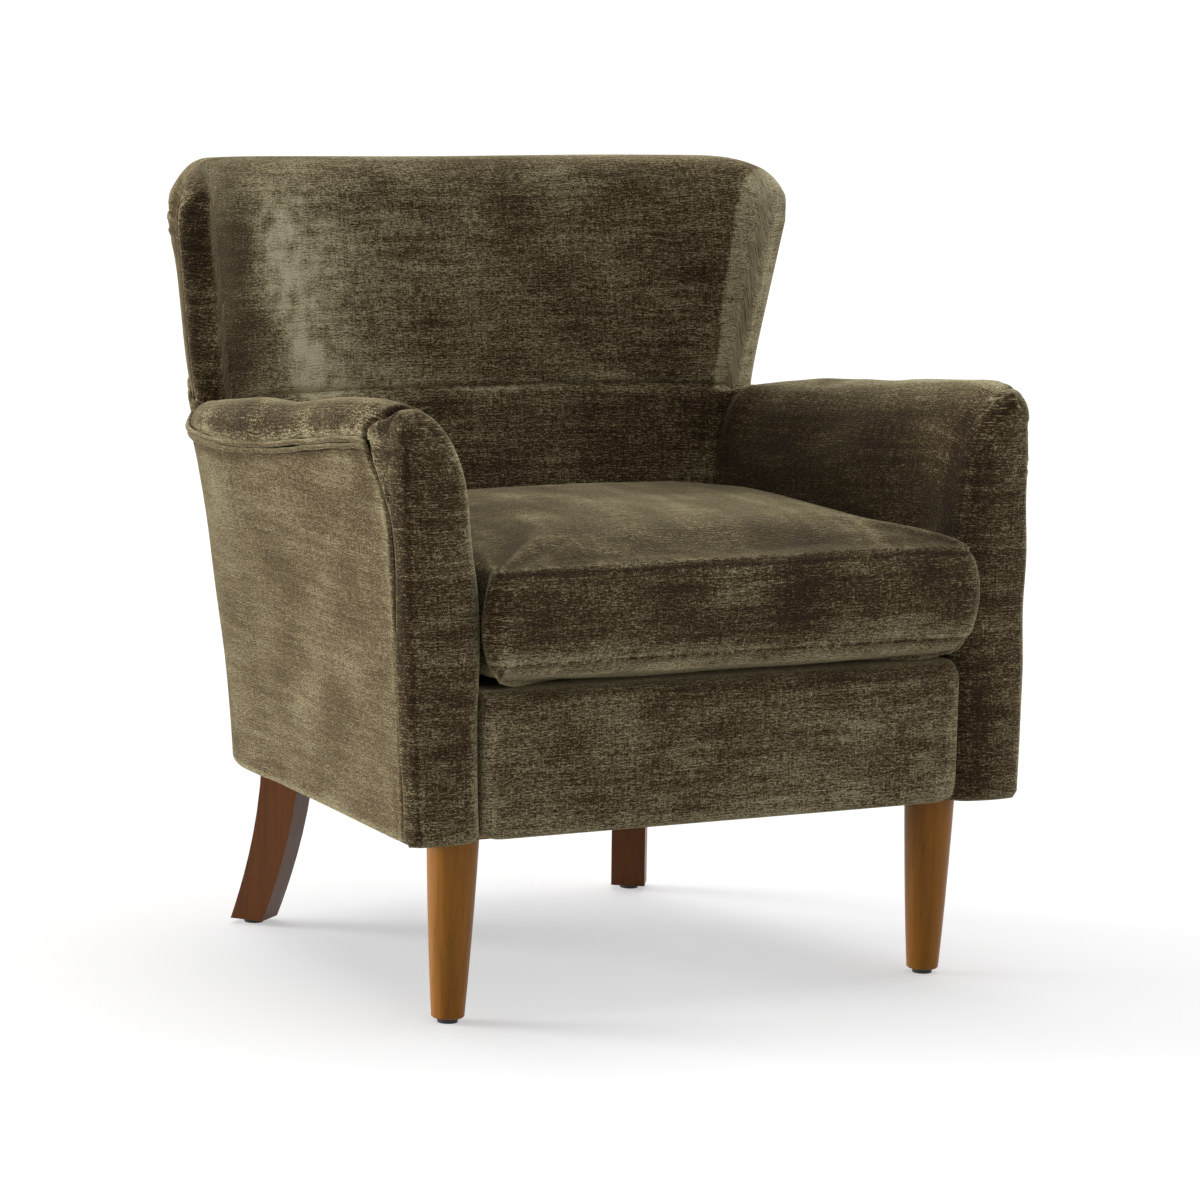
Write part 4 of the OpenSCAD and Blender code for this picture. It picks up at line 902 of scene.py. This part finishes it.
def arm(side):
    """The cover of an inside arm, its roll and its front, in one piece."""
    seed = 21 if side > 0 else 22
    y0 = RAIL_Y + FACING_T
    base_z = inner_side(y0, 0)[1]
    # The wall's rows below the seat are left out, because they never show
    hidden_z = 292
    first = int(np.searchsorted(base_z, hidden_z))
    body, body_lift, drop = arm_body(y0, first, seed)
    front, face_end, strip_cols = arm_front(base_z, y0)
    front_out = outward(front, (330, -250, 420))
    points = np.concatenate([body[:-3].reshape(-1, 3), front.reshape(-1, 3)])
    body_lift -= front_folds(body, points)
    body_lift[:, -1] = 0
    body = body + outward(body, (330, -60, 420)) * body_lift[..., None]
    body[..., 2] -= drop
    body = bulged(body)
    across = np.arange(front.shape[1])[None, :]
    lift = -front_folds(front, points) + 1.4 * ripple(front, 60, seed + 9)
    lift = lift * rise(across, 6) * rise(ROWS - 1 - np.arange(ROWS)[:, None], 3)
    # The strip rolls into its seam, and lies still beside the roll
    to_seam = (1 - (across - face_end + 1) / strip_cols) * seam_back(front[..., 2])
    to_seam = np.where(across < face_end, 99, to_seam)
    lift -= np.where(front[..., 2] < roll_low_z(y0) - 2, rolled(to_seam, 4.0, 9), 0)
    lift = np.where((front[..., 2] > roll_low_z(y0) + 1) & (across >= face_end - 1), 0, lift)
    front = bulged(front + front_out * lift[..., None])
    # The lower end turns under the frame, and a tongue closes the slit beside the front rail
    pull = rolled(front[..., 2] - HEM_Z, 6, 8)
    round_it = rise(across - face_end + 8, 8)
    front[..., 1] += pull * (1 - round_it)
    front[..., 0] -= pull * round_it
    tongue = np.stack([front[:first + 2, 0] + np.array([0, back, 0]) for back in (0, 6, 14, 24)], 1)
    turned_rows = []
    for back, down in ((22, 0.6), (12, 0.4), (4, 0)):
        row = front[0] + np.array([0, back, 0])
        row[:, 0] = mix(row[:, 0], 325, back / 60)
        row[:, 2] = HEM_Z - down
        turned_rows.append(row)
    front = np.concatenate([np.stack(turned_rows), front])
    # Weave places run along the arm and up its side, then across the front at the same heights
    along = lengths(body, 1, [1])
    up = lengths(body, 0, [0, 2])[:, [-1]] + base_z[first] - HEM_Z
    weave_body = np.stack([along, np.broadcast_to(up, along.shape)], -1)
    run = lengths(front, 1, [0, 1])
    weave_front = np.stack([run + along[:, -1].max(), front[..., 2] - HEM_Z], -1)
    grids = [(body, weave_body), (front, weave_front), (tongue, tongue[..., 1:])]
    grids = [(g * np.array([side, 1, 1]), w) for g, w in grids]
    return mesh_from(f"{hand(side)}_arm_cover", grids, (side * 330, -60, 420))


# The covers turn under the frame by so much at their hem
HEM_TURN = [24, 16, 8, 2]


def hemmed(grid, out):
    """The grid with rows turned in under its first one."""
    rows = []
    for back in HEM_TURN:
        turned = grid[0] - out[0] * np.array([1, 1, 0]) * back
        turned[:, 2] = grid[0, :, 2] - 0.4
        rows.append(turned)
    return np.concatenate([np.stack(rows), grid])


def under_hem(up):
    """How far a cover has drawn in just above its hem, where it rounds over by 6 mm."""
    return 6 * (1 - np.sqrt(1 - limit(1 - up / 7) ** 2 * 0.999))


def side_cover(side):
    """The outside of an arm, from its front seam round the rear corner to the rear seam."""
    # u runs from 0 to 1 along the straight side, and from 1 to 2 round the corner
    side_run, corner_run = 355, 330
    front_steps = np.array([0, 0.6, 1.6, 3, 5, 8, 12, 17])
    straight = np.concatenate([front_steps, np.linspace(24, side_run, 56)]) / side_run
    rear_steps = np.array([16, 12, 8, 5, 3, 1.6, 0.6, 0])
    curve = np.concatenate([np.linspace(0, 0.93, 44)[1:], 1 - rear_steps / corner_run])
    u = np.concatenate([straight, 1 + curve])[None, :]
    v = np.concatenate([np.linspace(0, 0.03, 6)[:-1], np.linspace(0.03, 0.965, 50),
                        1 - np.array([8, 5, 3, 1.6, 0.6, 0]) / 350])[:, None]
    y_top = mix(arm_face_y(PIPING_FRONT_Z) + FACING_T + seam_back(PIPING_FRONT_Z), TUB_Y, u)
    rear_top = mix(piping_z(ARM_END_Y), BACK_SEAM_Z, rise(u - 1 - 0.64, 0.2))
    rear_top += 22 * rise(u - 1.88, 0.08)
    top = np.where(u <= 1, piping_z(y_top), rear_top)
    from_front, from_rear = u * side_run, (2 - u) * corner_run
    corner = 3 * (1 - rise(from_front, 30)) + 3 * (1 - rise(from_rear, 60))
    z = mix(HEM_Z + corner, top + 1, v)
    flat = np.minimum(u, 1)
    y_flat = mix(arm_face_y(z) + FACING_T + seam_back(z) + 0.6, TUB_Y, flat)
    n = tub_n(z)
    end = np.arccos(limit((seam_x(z) - 5) / tub_a(z)) ** (n / 2))
    angle = np.maximum(u - 1, 0) * end
    x = np.where(u <= 1, side_x(y_flat, z), tub_a(z) * np.cos(angle) ** (2 / n))
    y = np.where(u <= 1, y_flat, TUB_Y + (rear_mid(z) - TUB_Y) * np.sin(angle) ** (2 / n))
    # Under the wing the top edge draws in, and tucks behind the wing's own seam
    tucked = np.minimum(x, wing_out_x(z) + 1 - 6 * rise(z - 566, 16))
    x = mix(x, tucked, rise(z - 536, 24) * rise(u - 1.52, 0.15))
    grid = points_of(x, y, z)
    out = outward(grid, (200, 0, 400))
    lift = 1.2 * ripple(grid, 90, 31 if side > 0 else 32) * rise(from_front, 30)
    lift = lift - 3.2 * bell(from_front, 3.0) - 2.5 * bell(from_rear, 3)
    lift = lift - under_hem(z - HEM_Z - corner)
    lift = lift - 2.0 * bell(top + 1 - z, 2.6)
    grid = hemmed(grid + out * lift[..., None], out)
    weave = np.stack([lengths(grid[10:11], 1, [0, 1]) + 0 * grid[..., 0], grid[..., 2] - HEM_Z], -1)
    weave[:len(HEM_TURN), :, 1] -= np.array(HEM_TURN)[:, None]
    grids = [(grid * np.array([side, 1, 1]), weave)]
    return mesh_from(f"{hand(side)}_side_cover", grids, (side * 200, 0, 400))


def outside_back():
    """The cover of the outside back, up to the edge seam and down under the hem."""
    s = crowded(171)[None, :]
    v = edge_rows([0, 2, 4, 6, 9, 13, 18], 84, 16, 620)[:, None]
    top = crest_back(s * WING_X)
    z = mix(HEM_Z, top, v)
    # It reaches the wing's edge just above the arm
    x = s * mix(seam_x(z), wing_out_x(z), rise(z - 545, 28))
    high = smooth((z - TUB_ARM_Z) / (WING_LOW_Z - TUB_ARM_Z))
    d = np.minimum(mix(EDGE_ROLL, wing_out_x(z) - abs(x), high), top - z)
    y = outside_y(x, z) - rolled(d, outside_y(x, z) - edge_y(x, z) - TOUCH)
    grid = points_of(x, y, z)
    out = outward(grid, (0, 150, 500))
    seam = (1 - abs(s)) * seam_x(z)
    low = 1 - high
    lift = 1.2 * ripple(grid, 95, 41) * rise(seam, 40) * rise(top - z, 30)
    lift = lift - 2.5 * bell(seam, 3) * low
    # The fullness of the corners is pleated into the edge seam
    corner_x, corner_z = WING_X - WING_CORNER, CHAIR_H - WING_CORNER
    r = np.hypot(abs(x) - corner_x, z - corner_z)
    turn = np.arctan2(z - corner_z, abs(x) - corner_x)
    pleat = bell(turn - 0.02, 0.05) + 0.9 * bell(turn + 0.2, 0.05) + 0.7 * bell(turn - 0.3, 0.05)
    near = rise(r - 30, 30) * rise(z - 670, 40) * bell(turn - 0.15, 0.55)
    lift += near * (6.0 - 5.5 * pleat) * rise(d, 5)
    lift = lift - under_hem(z - HEM_Z)
    grid = hemmed(grid + out * lift[..., None], out)
    return mesh_from("outside_back_cover", [(grid, middle_weave(grid))], (0, 150, 500))


def rail_cover():
    """The front rail's cover: a soft face with rounded lower corners, turned under and over."""
    half = SEAT_W / 2 - TOUCH
    t = np.linspace(-1, 1, 121)
    t = (np.sign(t) * abs(t) ** 0.85)[None, :]
    x = t * half
    d = half - abs(x)
    # Its profile runs under the rail, up the face, over the roll and back to the deck
    low_r, high_r = 7, 20
    face = [(RAIL_Y + 30, HEM_Z + 0.2), (RAIL_Y + 20, HEM_Z), (RAIL_Y + 12, HEM_Z),
            (RAIL_Y + low_r, HEM_Z + 0.2)]
    face += [(RAIL_Y + low_r * (1 - math.sin(a)), HEM_Z + low_r * (1 - math.cos(a)))
             for a in np.linspace(0.25, math.pi / 2, 6)]
    face += [(RAIL_Y, z) for z in np.linspace(HEM_Z + 10, DECK_Z - 22, 22)]
    face += [(RAIL_Y + high_r * (1 - math.cos(a)), DECK_Z - high_r * (1 - math.sin(a)))
             for a in np.linspace(0, math.pi / 2, 10)]
    face += [(y, DECK_Z) for y in np.linspace(RAIL_Y + 24, RAIL_Y + 46, 5)]
    face = np.array(face)
    y = face[:, 0][:, None] + 0 * x
    z = face[:, 1][:, None] + 0 * x
    grid = points_of(x, y, z)
    on_face = rise(z - HEM_Z, 20) * rise(DECK_Z - z, 20)
    lift = (3.0 + 1.2 * ripple(grid, 80, 51)) * on_face
    lift -= rolled(d, 6, 10) * (y < RAIL_Y + 22)
    grid[..., 1] -= lift
    grid[..., 2] += 5 * bell(d, 12) * rise(HEM_Z + 40 - z, 40)
    ends = [np.stack([column + np.array([way * 0.02 * back, back, 0]) for back in (26, 16, 8, 3)], 1)
            for column, way in ((grid[:, 0], 1), (grid[:, -1], -1))]
    grid = np.concatenate([ends[0], grid, ends[1][:, ::-1]], 1)
    weave = np.stack([lengths(grid, 1, [0, 1]), lengths(grid, 0, [1, 2])[:, [64]] + 0 * grid[..., 0]], -1)
    return mesh_from("front_rail_cover_cloth", [(grid, weave)], (0, RAIL_Y + 60, 250), wall=5)


def cushion_outline(shares):
    """The seat cushion's seam line in plan as four spans, rear, left, front and right, that meet at the
    middle of each rounded corner. Each span is sampled at the given shares of its length."""
    r, half = 24, SEAT_W / 2 - 7
    y0, y1 = FRONT_Y + 12, float(inside_y(0, SEAM_LOW)) - 6
    centres = [(half - r, y1 - r, 0), (r - half, y1 - r, 90),
               (r - half, y0 + r, 180), (half - r, y0 + r, 270)]
    spans = []
    for i, (cx, cy, start) in enumerate(centres):
        nx, ny, after = centres[(i + 1) % 4]
        out = np.radians(start + np.linspace(45, 90, 40))
        back = np.radians(after + np.linspace(0, 45, 40))
        line = np.concatenate([np.stack([cx + r * np.cos(out), cy + r * np.sin(out)], -1),
                               np.stack([nx + r * np.cos(back), ny + r * np.sin(back)], -1)])
        run = run_of(line)
        run /= run[-1]
        spans.append(np.stack([np.interp(shares, run, line[:, k]) for k in (0, 1)], -1))
    mid, shaped = (y0 + y1) / 2, []
    for line in spans:
        u, w = line[:, 0] / half, (line[:, 1] - mid) / (y1 - mid)
        # The rear follows the inside back's curve, the front corners swell out and the sides draw in
        rear = float(inside_y(0, SEAM_LOW)) - inside_y(line[:, 0], SEAM_LOW)
        swell = 15 * rise(FRONT_Y + 44 - line[:, 1], 32)
        x = line[:, 0] + np.sign(u) * (swell - 4 * np.maximum(0, 1 - w * w)) * smooth(abs(u) * 1.5)
        y = line[:, 1] - rear * np.maximum(0, w) ** 2
        y -= 4 * np.sign(w) * np.maximum(0, 1 - u * u) * smooth(abs(w))
        shaped.append(np.stack([x, y], -1))
    return shaped


def filled(spans, shares):
    """A grid that fills four spans, as a Coons patch."""
    rear, left, front, right_side = spans
    v, h = shares[:, None, None], shares[None, :, None]
    top, bottom, west, east = rear[::-1], front, left[::-1], right_side
    ruled = mix(west[:, None], east[:, None], h) + mix(bottom[None], top[None], v)
    return ruled - mix(mix(bottom[0], bottom[-1], h), mix(top[0], top[-1], h), v)


def high_seam(y):
    """The upper seam sinks towards the back, where the cushion is sat flat."""
    return SEAM_HIGH - 13 * rise(y + 20, 190)


def seat_cushion():
    """The loose cushion's cloth: a crowned top and underside joined by a boxing."""
    even = np.linspace(0, 1, 93)
    shares = mix(even, (1 + crowded(93)) / 2, 0.72)
    spans = cushion_outline(shares)
    flat = filled(spans, shares)
    ring = np.concatenate([line[:-1] for line in spans] + [spans[0][:1]])
    away = np.linalg.norm(flat.reshape(-1, 1, 2) - ring[None, ::2], axis=-1).min(1).reshape(flat.shape[:2])
    away[[0, -1]] = 0
    away[:, [0, -1]] = 0
    top = np.dstack([flat, high_seam(flat[..., 1]) + 15 * arch(away, 50) + 12 * arch(away, 190)])
    under = SEAM_LOW - 12 * arch(away, 16) - 18 * arch(away, 60)
    under = np.dstack([flat, np.maximum(LUMBAR_LOW + 0.6, under)])
    levels = np.concatenate([[0], mix(np.linspace(0, 1, 19), (1 + crowded(19)) / 2, 0.7)[1:-1], [1]])
    out = np.roll(ring[:-1], -1, 0) - np.roll(ring[:-1], 1, 0)
    out = np.stack([out[:, 1], -out[:, 0]], -1) / np.linalg.norm(out, axis=1)[:, None]
    out = np.concatenate([out, out[:1]])
    room = 2.5 + 8.5 * rise(RAIL_Y + 10 - ring[:, 1], 16)
    box = []
    for t in levels:
        puff = room[:, None] * math.sin(math.pi * t) ** 0.7
        box.append(np.column_stack([ring + out * puff, mix(SEAM_LOW, high_seam(ring[:, 1]), t)]))
    box = np.stack(box)
    around = lengths(box[:1], 1, [0, 1]) + 0 * box[..., 0]

    def laid_flat(grid, edge_z):
        x, y, fall_by = grid[..., 0], grid[..., 1] + 90, abs(grid[..., 2] - edge_z)
        return np.stack([x - np.sign(x) * fall_by * smooth(abs(x) / 110 - 1.2),
                         y - np.sign(y) * fall_by * smooth(abs(y) / 100 - 1.2)], -1)
    return [(top, laid_flat(top, high_seam(flat[..., 1]))), (under, laid_flat(under, SEAM_LOW) + 700),
            (box, np.stack([around, box[..., 2]], -1))], ring


def blow_up(piece, pinned, frames=20, pressure=4.0, reach=0.012):
    """Cloth pressure on a piece whose seam points are held: its points, and how far each has moved."""
    group = piece.vertex_groups.new(name="seam")
    group.add([int(i) for i in pinned], 1.0, "REPLACE")
    cloth = piece.modifiers.new("cloth", "CLOTH").settings
    cloth.use_pressure = True
    cloth.uniform_pressure_force = pressure
    cloth.effector_weights.gravity = 0
    cloth.vertex_group_mass = "seam"
    cloth.tension_stiffness = cloth.compression_stiffness = 25
    cloth.bending_stiffness = 1.2
    cloth.quality = 6
    scene = bpy.context.scene
    start = read(piece.data.vertices, "co")
    for number in range(1, frames + 1):
        scene.frame_set(number)
    shaped = piece.evaluated_get(bpy.context.evaluated_depsgraph_get()).data
    moved = read(shaped.vertices, "co") - start
    scene.frame_set(1)
    piece.modifiers.clear()
    piece.vertex_groups.clear()
    far = np.maximum(np.linalg.norm(moved, axis=1, keepdims=True), 1e-9)
    return start, moved * reach * np.tanh(far / reach) / far


def move_to(mesh, co):
    """Moves the vertices to places in millimetres."""
    mesh.vertices.foreach_set("co", (co * 0.001).astype(np.float32).ravel())
    mesh.update()


def make_cushion():
    """The seat cushion as stuffed cloth: blown up, laid in its seat and puckered along its seams."""
    grids, ring = seat_cushion()
    piece = mesh_from("seat_cushion", grids, (0, -80, 405), wall=0)
    mesh = piece.data
    co = read(mesh.vertices, "co") * 1000
    near = np.linalg.norm(co[:, None, :2] - ring[None, ::2], axis=-1)
    at, edge = near.argmin(1), near.min(1)
    exact = np.linalg.norm(co[:, None, :2] - ring[None], axis=-1).min(1) < 0.05
    seam = exact & ((abs(co[:, 2] - high_seam(co[:, 1])) < 0.1) | (abs(co[:, 2] - SEAM_LOW) < 0.1))
    flat = co.copy()
    rest, moved = blow_up(piece, np.where(seam)[0])
    co = (rest + moved) * 1000
    # Puckers stand square to both seams and fade within 30 mm
    to_seam = np.minimum(np.hypot(edge, flat[:, 2] - high_seam(flat[:, 1])),
                         np.hypot(edge, flat[:, 2] - SEAM_LOW))
    run = run_of(ring)[::2][at]
    turn = run / run.max() * 2 * math.pi
    rng = np.random.default_rng(8)
    pucker = sum(np.sin(turn * k + rng.uniform(0, 6)) for k in (13, 19, 29, 41, 58)) / 2.2
    pucker *= (to_seam / 10) * np.exp(1 - to_seam / 10) * np.where(flat[:, 2] > 400, 0.35, 0.8)
    move_to(mesh, co)
    broad = 1.5 * ripple(co, 90, 61) * rise(to_seam, 40)
    co = co + read(mesh.vertices, "normal") * (pucker + broad - 1.2 * bell(to_seam, 1.6))[:, None]
    # It lies on the deck and touches the arms and the back
    side = wall_x(co[:, 2]) - 1.2 + 26 * rise(RAIL_Y + 10 - co[:, 1], 14)
    co[:, 0] = np.clip(co[:, 0], -side, side)
    co[:, 1] = np.minimum(co[:, 1], inside_y(co[:, 0], np.minimum(co[:, 2], 560)) - 1.5)
    co[:, 1] = np.maximum(co[:, 1], FRONT_Y - 3)
    co[:, 2] = np.maximum(co[:, 2], LUMBAR_LOW + 0.3)
    move_to(mesh, co)
    piece = paint_light_on_nap(settled(piece, "SUBSURF", {"levels": 1, "render_levels": 1}), cushion_light_and_tone)
    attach(piece, "cushion")
    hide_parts("cushion_cover", "cushion_core")


def grown(name, lines, material, build):
    """A mesh that Geometry Nodes grow along some lines of points in millimetres. The given function adds
    the nodes between the curve and the result."""
    points, edges = [], []
    for line in lines:
        first = len(points)
        points += [tuple(q * 0.001 for q in p) for p in line]
        edges += [(first + k, first + k + 1) for k in range(len(line) - 1)]
    mesh = bpy.data.meshes.new(name)
    mesh.from_pydata(points, edges, [])
    group = bpy.data.node_groups.new(name, "GeometryNodeTree")
    for way in ("INPUT", "OUTPUT"):
        group.interface.new_socket(name="Geometry", in_out=way, socket_type="NodeSocketGeometry")
    curve = first_of(group, "GeometryNodeMeshToCurve", {"Mesh": first_of(group, "NodeGroupInput")})
    whole = first_of(group, "GeometryNodeRealizeInstances", {0: build(group, curve)})
    whole = first_of(group, "GeometryNodeSetShadeSmooth", {0: whole})
    whole = first_of(group, "GeometryNodeSetMaterial", {"Geometry": whole, "Material": material})
    put(group, "NodeGroupOutput", {0: whole})
    made = settled(linked(name, mesh), "NODES", {"node_group": group})
    made.data.materials.clear()
    made.data.materials.append(material)
    return made


def welt(tree, curve):
    even = first_of(tree, "GeometryNodeResampleCurve", {"Curve": curve, "Length": 0.002}, {"mode": "LENGTH"})
    ring = first_of(tree, "GeometryNodeCurvePrimitiveCircle", {"Resolution": 14, "Radius": 0.0028})
    return first_of(tree, "GeometryNodeCurveToMesh",
                    {"Curve": even, "Profile Curve": ring, "Fill Caps": True})


def piping(side):
    """The double welt under a roll: it turns into the back behind, and curls into the front seam."""
    lines = []
    for up, seed in ((-0.4, 81), (6.2, 82)):
        y = np.concatenate([[178, 175, 171], np.linspace(167, -236, 150),
                            [-241, -246, -250, -254, -259, -264]])
        z = piping_z(y) + up
        z[:3] += [9, 5, 2]
        z[-6:] -= [0.8, 2.6, 6, 12, 20, 28]
        x = side_x(y, z) + (2.0 if up < 0 else 3.0)
        x[:3] -= [6, 3, 1]
        x[-6:] -= [0, 0.2, 0.6, 1.2, 2, 3.2]
        y[-6:] += 0 if up < 0 else np.array([0, 0.6, 2, 3.6, 4.6, 5])
        wave = ripple(np.stack([0 * y, y, 0 * y], -1), 26, seed)
        lines.append(np.stack([side * (x + 0.25 * wave), y, z + 0.5 * wave], -1))
    made = grown(f"{hand(side)}_arm_welt", lines, OLIVE, welt)
    lay_weave(made.data, read(made.data.vertices, "co")[:, [1, 2]])
    return made


def deck():
    """The seat deck under the cushion: cloth over a felt pad, pulled down along one seam."""
    x = np.linspace(-281, 281, 96)[None, :]
    y = np.linspace(RAIL_Y + 41, 203, 90)[:, None]
    grid = points_of(x, y, DECK_Z - 0.4)
    sag = 3.0 * np.cos(math.pi / 2 * x / 282) * np.cos(math.pi * (y + 40) / 500)
    grid[..., 2] -= sag + 0.7 + 0.7 * ripple(grid, 60, 91) + 1.8 * bell(y + 215, 2.5)
    made = mesh_from("seat_deck_cloth", [(grid, grid[..., :2])], (0, -40, 200), 9, DECK)
    dress(made, "seat_deck", slot="deck_cloth", fill=0.4)


def dust_cloth():
    """The cloth under the frame, cut round the legs as the part's is, hanging a little slack."""
    source = bpy.data.objects["dust_cover"].data
    cut = bmesh.new()
    cut.from_mesh(source)
    bmesh.ops.delete(cut, geom=[f for f in cut.faces if f.normal.z > -0.9], context="FACES")
    bmesh.ops.delete(cut, geom=[v for v in cut.verts if not v.link_faces], context="VERTS")
    # Cuts every 22 mm let it sag
    for axis, low, high in ((0, -352, 352), (1, -324, 260)):
        for at in range(low, high, 22):
            place, way = Vector(), Vector()
            place[axis], way[axis] = at * 0.001, 1
            bmesh.ops.bisect_plane(cut, geom=cut.faces[:] + cut.edges[:] + cut.verts[:],
                                   plane_co=place, plane_no=way)
    bmesh.ops.remove_doubles(cut, verts=cut.verts, dist=1e-6)
    edge = [v.co.copy() for v in cut.verts if v.is_boundary]
    for v in cut.verts:
        near = min((v.co - e).length for e in edge)
        waves = 0.0006 * math.sin(v.co.x * 60) * math.sin(v.co.y * 47) * min(1, near / 0.03)
        v.co.z -= 0.004 * min(1, near / 0.15) ** 1.3 + waves
    mesh = bpy.data.meshes.new("dust_cloth")
    area = sum(f.calc_area() for f in cut.faces)
    cut.to_mesh(mesh)
    cut.free()
    shaded_mesh(mesh, DECK)
    made = settled(linked("dust_cloth", mesh), "SOLIDIFY", {"thickness": 0.0008, "offset": -1.0})
    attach(made, "chair")
    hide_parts("dust_cover")


def staple_row(tree, curve):
    along = put(tree, "GeometryNodeCurveToPoints", {"Curve": curve, "Length": 0.034}, {"mode": "LENGTH"})
    spots = along.outputs
    bar = first_of(tree, "GeometryNodeMeshCylinder", {"Vertices": 8, "Radius": 0.0006, "Depth": 0.0105})
    return first_of(tree, "GeometryNodeInstanceOnPoints",
                    {"Points": spots["Points"], "Instance": bar, "Rotation": spots["Rotation"]})


def staples():
    """The staples that hold the dust cloth, in one row along each side, the front and the rear."""
    z, lines = HEM_Z - 2.6, []
    for side in (1, -1):
        y = np.linspace(RAIL_Y + 70, TUB_Y + 70, 30)
        lines.append(np.stack([side * (side_x(y, HEM_Z) - 20), y, 0 * y + z], -1))
    x = np.linspace(-270, 270, 30)
    lines.append(np.stack([x, 0 * x + RAIL_Y + 30, 0 * x + z], -1))
    x = np.linspace(-150, 150, 20)
    rear = TUB_Y + 204 * arc_of(abs(x) / 330, TUB_SQUARE_HEM)
    lines.append(np.stack([x, rear, 0 * x + z], -1))
    made = grown("dust_cloth_staples", lines, STEEL, staple_row)
    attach(made, "chair")


make_cushion()
dress(inside_back(), "inside_back_pad")
dress(lumbar(), "lumbar_pad")
for side in (1, -1):
    word = hand(side)
    dress(arm(side), f"{word}_arm_pad", f"{word}_arm_front")
    dress(side_cover(side), f"{word}_outside_panel", fill=0.4, calm=0.45)
dress(outside_back(), "outside_back_panel", fill=0.4, calm=0.4)
dress(rail_cover(), "front_rail_cover")
for side in (1, -1):
    dress(piping(side), f"{hand(side)}_arm_piping", fill=1.0, calm=0.5)
deck()
dust_cloth()
staples()

# Camera, solved from the legs, the seams and the chair's outline
CAMERA_AT = Vector((-2.8537, -4.6163, 1.1622))
TURN, PITCH, ROLL = (math.radians(d) for d in (32.1423, 8.3368, 1.9181))
ahead = Vector((math.sin(TURN) * math.cos(PITCH), math.cos(TURN) * math.cos(PITCH), -math.sin(PITCH)))
right = Vector((math.cos(TURN), -math.sin(TURN), 0))
above = right.cross(ahead)
axes = (right * math.cos(ROLL) + above * math.sin(ROLL),
        above * math.cos(ROLL) - right * math.sin(ROLL), -ahead)
lens = bpy.data.cameras.new("camera")
lens.lens, lens.sensor_width = 157.73, 36
lens.clip_start, lens.clip_end = 0.1, 100
camera = linked("camera", lens)
camera.matrix_world = Matrix.Translation(CAMERA_AT) @ Matrix(axes).transposed().to_4x4()
bpy.context.scene.camera = camera


def sunlight(name, towards, power, width):
    """A broad soft light from far off; towards points from the chair to the light."""
    light = bpy.data.lights.new(name, "SUN")
    light.energy, light.angle = power, math.radians(width)
    made = linked(name, light)
    made.location = Vector(towards) * 3
    made.rotation_mode = "QUATERNION"
    made.rotation_quaternion = Vector(towards).to_track_quat("Z", "Y")


def seen(tree):
    """1 where the camera, a reflection or a clear surface looks, and 0 for all other light."""
    path, most = put(tree, "ShaderNodeLightPath").outputs, 0.0
    for kind in ("Camera", "Glossy", "Transmission"):
        most = first_of(tree, "ShaderNodeMath", {0: most, 1: path[f"Is {kind} Ray"]},
                        {"operation": "MAXIMUM"})
    return most


# The key stands behind the chair's right shoulder, so that its side is bright and its front falls off
sunlight("key", (-0.78, 0.58, 0.14), 4.4, 32)
sunlight("top", (0.10, 0.30, 1.0), 1.55, 60)
sunlight("side", (1.0, -0.12, 0.30), 0.55, 50)
sunlight("fill", (0.35, -0.90, 0.45), 0.42, 70)

# World: even soft light, and plain white where the camera or a reflection sees it
world = bpy.data.worlds.new("studio")
bpy.context.scene.world = world
world.use_nodes = True
tree = world.node_tree
tree.nodes.clear()
level = first_of(tree, "ShaderNodeMapRange", {"Value": seen(tree), "To Min": 0.20, "To Max": 1.0})
sky = first_of(tree, "ShaderNodeBackground", {"Color": (1, 1, 1, 1), "Strength": level})
put(tree, "ShaderNodeOutputWorld", {"Surface": sky})

# Floor: pale paper that is white to the eye where no shadow falls
floor_mesh = bpy.data.meshes.new("floor")
floor_mesh.from_pydata([(-60, -60, 0), (60, -60, 0), (60, 60, 0), (-60, 60, 0)], [], [(0, 1, 2, 3)])
floor = linked("floor", floor_mesh)
matt, tree = new_material("Matt white paper floor")
bounce = first_of(tree, "ShaderNodeBsdfDiffuse", {"Color": (0.5, 0.5, 0.5, 1)})
paper = first_of(tree, "ShaderNodeBsdfDiffuse", {"Color": (0.66, 0.66, 0.66, 1)})
glow = first_of(tree, "ShaderNodeEmission", {"Color": (1, 1, 1, 1), "Strength": 0.44})
both = first_of(tree, "ShaderNodeAddShader", {0: paper, 1: glow})
shown = first_of(tree, "ShaderNodeMixShader", {0: seen(tree), 1: bounce, 2: both})
put(tree, "ShaderNodeOutputMaterial", {"Surface": shown})
floor_mesh.materials.append(matt)

bpy.context.scene.view_settings.view_transform = "Standard"
